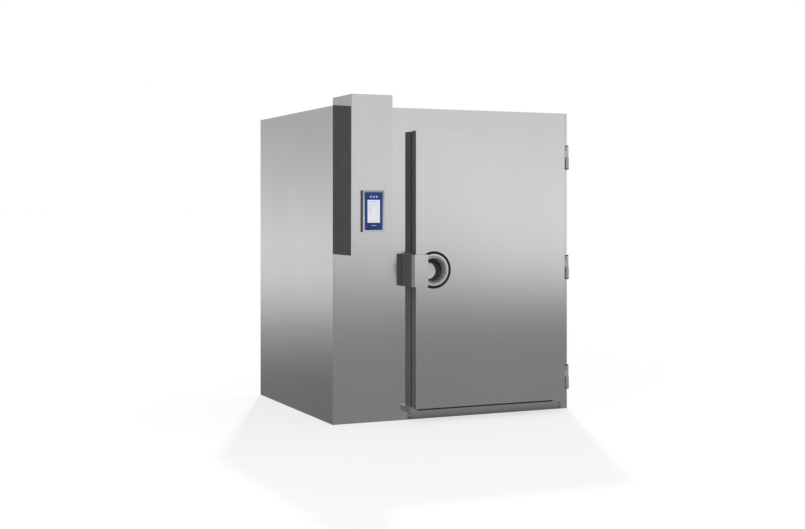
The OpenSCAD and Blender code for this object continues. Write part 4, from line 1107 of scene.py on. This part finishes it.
# ---- Latch bracket, lever and its pin ----
# A dark-coated block on the leaf's edge holds the pin. The lever is bent from 4 mm sheet: a
# dark side wall with two cheeks, a bend coloured mid grey as painted shade between the dark
# side and the plate, and a satin plate with a half-round nose.
dressed("latch_bracket_block", "latch_bracket", 1.5 * MM, dark_coat, 3,
        body="door")
pin_low, pin_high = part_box("lever_pin")
pin_x, pin_y = centre("lever_pin").xy
pin_mm = (pin_high.z - pin_low.z) / MM
bm = bmesh.new()
lathed(bm, [(0, 0), (6.6, 0), (8, 1.4), (8, pin_mm - 1.4), (6.6, pin_mm), (4.4, pin_mm),
            (3.6, pin_mm - 2), (0, pin_mm - 2)], facing(pin_x, pin_y, pin_low.z), 32)
piece("lever_pin_turned", bm, bright_steel, ["lever_pin"], "door")

low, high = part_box("handle_lever")
plate_t, cheek_t, bend_r = 4 * MM, 4 * MM, 18 * MM
nose_mm = 59
plate_end = high.x - nose_mm * MM
lever_mid = (low.z + high.z) / 2
bm = bmesh.new()
rounded_block(bm, (low.x, low.y + bend_r - 1 * MM, low.z), (low.x + plate_t, high.y, high.z),
              1.2 * MM, 3)
cheek = [(low.x + 1 * MM, high.y - 1 * MM), (low.x + 34 * MM, high.y - 1 * MM),
         (pin_x + 23 * MM, leaf_face + 2 * MM), (pin_x + 23 * MM, pin_y - 12 * MM),
         (plate_end - 20 * MM, low.y + 1 * MM), (low.x + bend_r, low.y + 1 * MM),
         (low.x + 5 * MM, low.y + 6 * MM), (low.x + 1 * MM, low.y + bend_r)]
for z in (low.z, high.z - cheek_t):
    one = bmesh.new()
    extruded(one, [(x, y, z) for x, y in cheek], (0, 0, cheek_t))
    round_edges(one, list(one.edges), 0.6 * MM)
    spare = bpy.data.meshes.new("cheek")
    one.to_mesh(spare)
    one.free()
    bm.from_mesh(spare)
    bpy.data.meshes.remove(spare)
    lathed(bm, [(8.2, -0.6), (12, -0.6), (12, 0), (8.2, 0)], facing(pin_x, pin_y, z), 28)
piece("lever_side_and_cheeks", bm, dark_coat, body="lever")

bend_at = low.x + bend_r, low.y + bend_r
bm = bmesh.new()
extruded(bm, [(x, y, low.z) for x, y in arc(*bend_at, bend_r, 180, 270, 12)
              + arc(*bend_at, bend_r - plate_t, 270, 180, 12)], (0, 0, high.z - low.z))
piece("lever_bend", bm, grey_painted_shade, body="lever")

bm = bmesh.new()
lathed(bm, [(0, -12), (57.2, -12), (59, -10.6), (59, -2.6), (58.4, -0.9), (57, 0), (55.2, -0.2),
            (54.4, -1), (53.6, -1.2), (0, -1.2)],
       facing(plate_end, low.y, lever_mid, TO_FRONT), 96)
cut_at(bm, plate_end - 12 * MM, -1)
rounded_block(bm, (low.x + bend_r - 0.4 * MM, low.y, low.z),
              (plate_end, low.y + plate_t, high.z), 1 * MM, 3)
piece("lever_plate_and_nose", bm, satin_steel, ["handle_lever"], "lever")

# ---- Inner release ----
# Stainless rod through the door with a groove turned near its outer end, and a fluted green
# knob screwed on inside. Pushing the knob from the chamber moves the lever's nose outwards.
rod_low, rod_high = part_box("release_rod")
rod_mm = (rod_high.y - rod_low.y) / MM
place = facing(rod_x, rod_high.y, bowl_z, TO_FRONT)
bm = bmesh.new()
lathed(bm, [(0, 0), (7, 0), (8, 1), (8, rod_mm - 14), (7, rod_mm - 13.6), (7, rod_mm - 12.4),
            (8, rod_mm - 12), (8, rod_mm - 3), (7, rod_mm - 1), (4.5, rod_mm), (0, rod_mm)],
       place, 32)
piece("release_rod_turned", bm, bright_steel, ["release_rod"], "release")
low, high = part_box("release_knob")
knob_mm = (high.y - low.y) / MM
flutes = 12
bm = bmesh.new()
lathed(bm, [(0, 0.6), (13, 0.4), (16, 0), (18.6, 1), (20.4, 3), (21.6, 6), (22, 9), (22, 13),
            (21, 15.4), (18.6, 17.6), (15, 18.8), (13.6, 20), (13, 22.4), (12.4, knob_mm),
            (8.1, knob_mm)], Matrix.Identity(4), 96)
for v in bm.verts:
    r = math.hypot(v.co.x, v.co.y)
    if r > 17 * MM:
        dip = 0.055 * (0.5 - 0.5 * math.cos(flutes * math.atan2(v.co.y, v.co.x)))
        v.co.x, v.co.y = v.co.x * (1 - dip), v.co.y * (1 - dip)
bmesh.ops.transform(bm, matrix=facing(rod_x, high.y, bowl_z, TO_FRONT), verts=bm.verts)
green_plastic = moulded("polypropylene_green", "#2F9142", "#38A04C", 0.4)
piece("release_knob_fluted", bm, green_plastic, ["release_knob"], "release")
bm = bmesh.new()
lathed(bm, [(8.4, 0), (30, 0), (30, 1.4), (28.6, 2.6), (12, 2.6), (10.4, 1.8), (8.4, 1.6)],
       facing(rod_x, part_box("door_inner_skin")[1].y, bowl_z, TO_REAR), 48)
piece("release_rod_plate", bm, bright_steel, body="door")

# ---- Camera, world and floor ----
# The camera stands where the photograph was taken: front left, 1.54 m up, level, with
# a shift for the framing. The world is a room: white behind the object, with a grey floor in
# front of it and beside it, which gives the steel its light upper and dark lower part.
lens_mm = 57.91
camera_data = bpy.data.cameras.new("camera")
camera_data.lens, camera_data.sensor_width, camera_data.shift_y = lens_mm, 36, -0.0682
camera = bpy.data.objects.new("camera", camera_data)
camera.location = (-4.3090, -9.5117, 1.5438)
camera.rotation_euler = (math.radians(90), 0, math.radians(-24.114))
scene.collection.objects.link(camera)
scene.camera = camera

world = bpy.data.worlds.new("studio")
world.use_nodes = True
scene.world = world
sky = world.node_tree
sky.nodes.clear()
ray = add_node(sky, "TexCoord").outputs["Generated"]
parts = add_node(sky, "SeparateXYZ", {"Vector": ray})
height_span = 0.2


def heights(stops):
    """Grey by the height of a direction, from one span below the horizon to one above."""
    at = add_node(sky, "MapRange", {"Value": parts.outputs["Z"], "From Min": -height_span,
                                    "From Max": height_span}).outputs[0]
    made = add_node(sky, "ValToRGB", {"Fac": at})
    ramp = made.color_ramp
    while len(ramp.elements) < len(stops):
        ramp.elements.new(0.5)
    for stop, (z, grey) in zip(ramp.elements, stops):
        stop.position, stop.color = (z / height_span + 1) / 2, (grey, grey, grey, 1)
    return made.outputs["Color"]


def beside_each_other(axis, start, end, first, second):
    """Passes from one part of the room to the next as the direction's share along an axis
    goes from start to end."""
    share = add_node(sky, "MapRange", {"Value": parts.outputs[axis], "From Min": start,
                                       "From Max": end}, interpolation_type="SMOOTHSTEP")
    return add_node(sky, "MixRGB", {"Fac": share.outputs[0], "Color1": first,
                                    "Color2": second}).outputs[0]


in_front_left = heights([
    (-0.2, 0.28), (-0.115, 0.285), (-0.092, 0.305), (-0.07, 0.41), (-0.047, 0.58), (-0.03, 0.70),
    (-0.0157, 0.78), (0.01, 0.84), (0.046, 0.865), (0.08, 0.835), (0.2, 0.80)])
in_front_right = heights([
    (-0.2, 0.29), (-0.12, 0.28), (-0.095, 0.245), (-0.083, 0.27), (-0.07, 0.45), (-0.055, 0.78),
    (-0.040, 0.98), (-0.02, 1.02), (0.0, 1.04), (0.027, 0.99), (0.052, 0.90), (0.08, 0.81),
    (0.2, 0.78)])
beside = heights([
    (-0.2, 0.19), (-0.132, 0.205), (-0.116, 0.25), (-0.093, 0.40), (-0.07, 0.665), (-0.05, 0.82),
    (-0.023, 0.84), (0.0075, 0.73), (0.038, 0.63), (0.0615, 0.56), (0.2, 0.52)])
front = beside_each_other("X", 0.37, 0.52, in_front_left, in_front_right)
behind = beside_each_other("X", 0.0, 0.1, beside, (1, 1, 1, 1))
room = beside_each_other("Y", -0.2, 0.2, front, behind)
shown = add_node(sky, "Background", {"Color": room, "Strength": 1.0})
sky.links.new(shown.outputs[0], add_node(sky, "OutputWorld").inputs["Surface"])

bm = bmesh.new()
bmesh.ops.create_grid(bm, x_segments=1, y_segments=1, size=400)
mesh = bpy.data.meshes.new("studio_floor")
bm.to_mesh(mesh)
bm.free()
floor = bpy.data.objects.new("studio_floor", mesh)
scene.collection.objects.link(floor)
# matt white paper that looks almost white itself, and still takes the object's shadow
paper, tree, _ = surface("white_paper_sweep", 0.0, 0.9, Specular_IOR_Level=0.0,
                         Base_Color=(0.8, 0.8, 0.8, 1))
sheet_look = add_node(tree, "BsdfDiffuse", {"Color": (0.3, 0.3, 0.3, 1)})
own_white = add_node(tree, "Emission", {"Color": (1, 1, 1, 1), "Strength": 0.675})
pale = add_node(tree, "AddShader", {0: sheet_look.outputs[0], 1: own_white.outputs[0]})
rays = add_node(tree, "LightPath")
seen = rays.outputs["Is Camera Ray"]
for kind in ("Is Glossy Ray", "Is Transmission Ray"):
    seen = add_node(tree, "Math", {0: seen, 1: rays.outputs[kind]}, operation="MAXIMUM").outputs[0]
real_white = tree.nodes["Principled BSDF"].outputs[0]
cover = add_node(tree, "MixShader", {0: seen, 1: real_white, 2: pale.outputs[0]})
tree.links.new(cover.outputs[0], tree.nodes["Material Output"].inputs["Surface"])
mesh.materials.append(paper)
# the steel shows the grey floor of the room instead of the paper, and the photograph shows
# no image of the dark parts in the steel beside them
floor.visible_glossy = False
for name in ("door_frame_profile", "latch_keeper_box", "latch_pad", "latch_bracket_block",
             "door_front_sheet", "door_inner_sheet", "door_insulation", "door_edge_frame",
             "door_magnetic_seal", "door_wiper_lip", "lever_side_and_cheeks", "lever_bend",
             "lever_plate_and_nose", "lever_pin_turned", "bowl_side_wall", "bowl_black_dish"):
    bpy.data.objects[name].visible_glossy = False


def lamp(name, kind, energy, at, towards, **settings):
    """A soft lamp that leaves no image of itself in the steel."""
    data = bpy.data.lights.new(name, kind)
    data.energy = energy
    for key, value in settings.items():
        setattr(data, key, value)
    made = bpy.data.objects.new(name, data)
    made.location = at
    made.rotation_euler = (Vector(towards) - Vector(at)).to_track_quat("-Z", "Y").to_euler()
    made.visible_glossy = False
    made.visible_camera = False
    scene.collection.objects.link(made)


lamp("softbox", "AREA", 60, (-4.5, -4.5, 4.5), (0, -0.4, 1.2), shape="DISK", size=3.0)
# low behind the cabinet: it draws the pale shadow on the paper towards the camera
lamp("back_light", "SUN", 1.6, (1.22, 2.79, 2.49), (0, 0, 0), angle=math.radians(3))
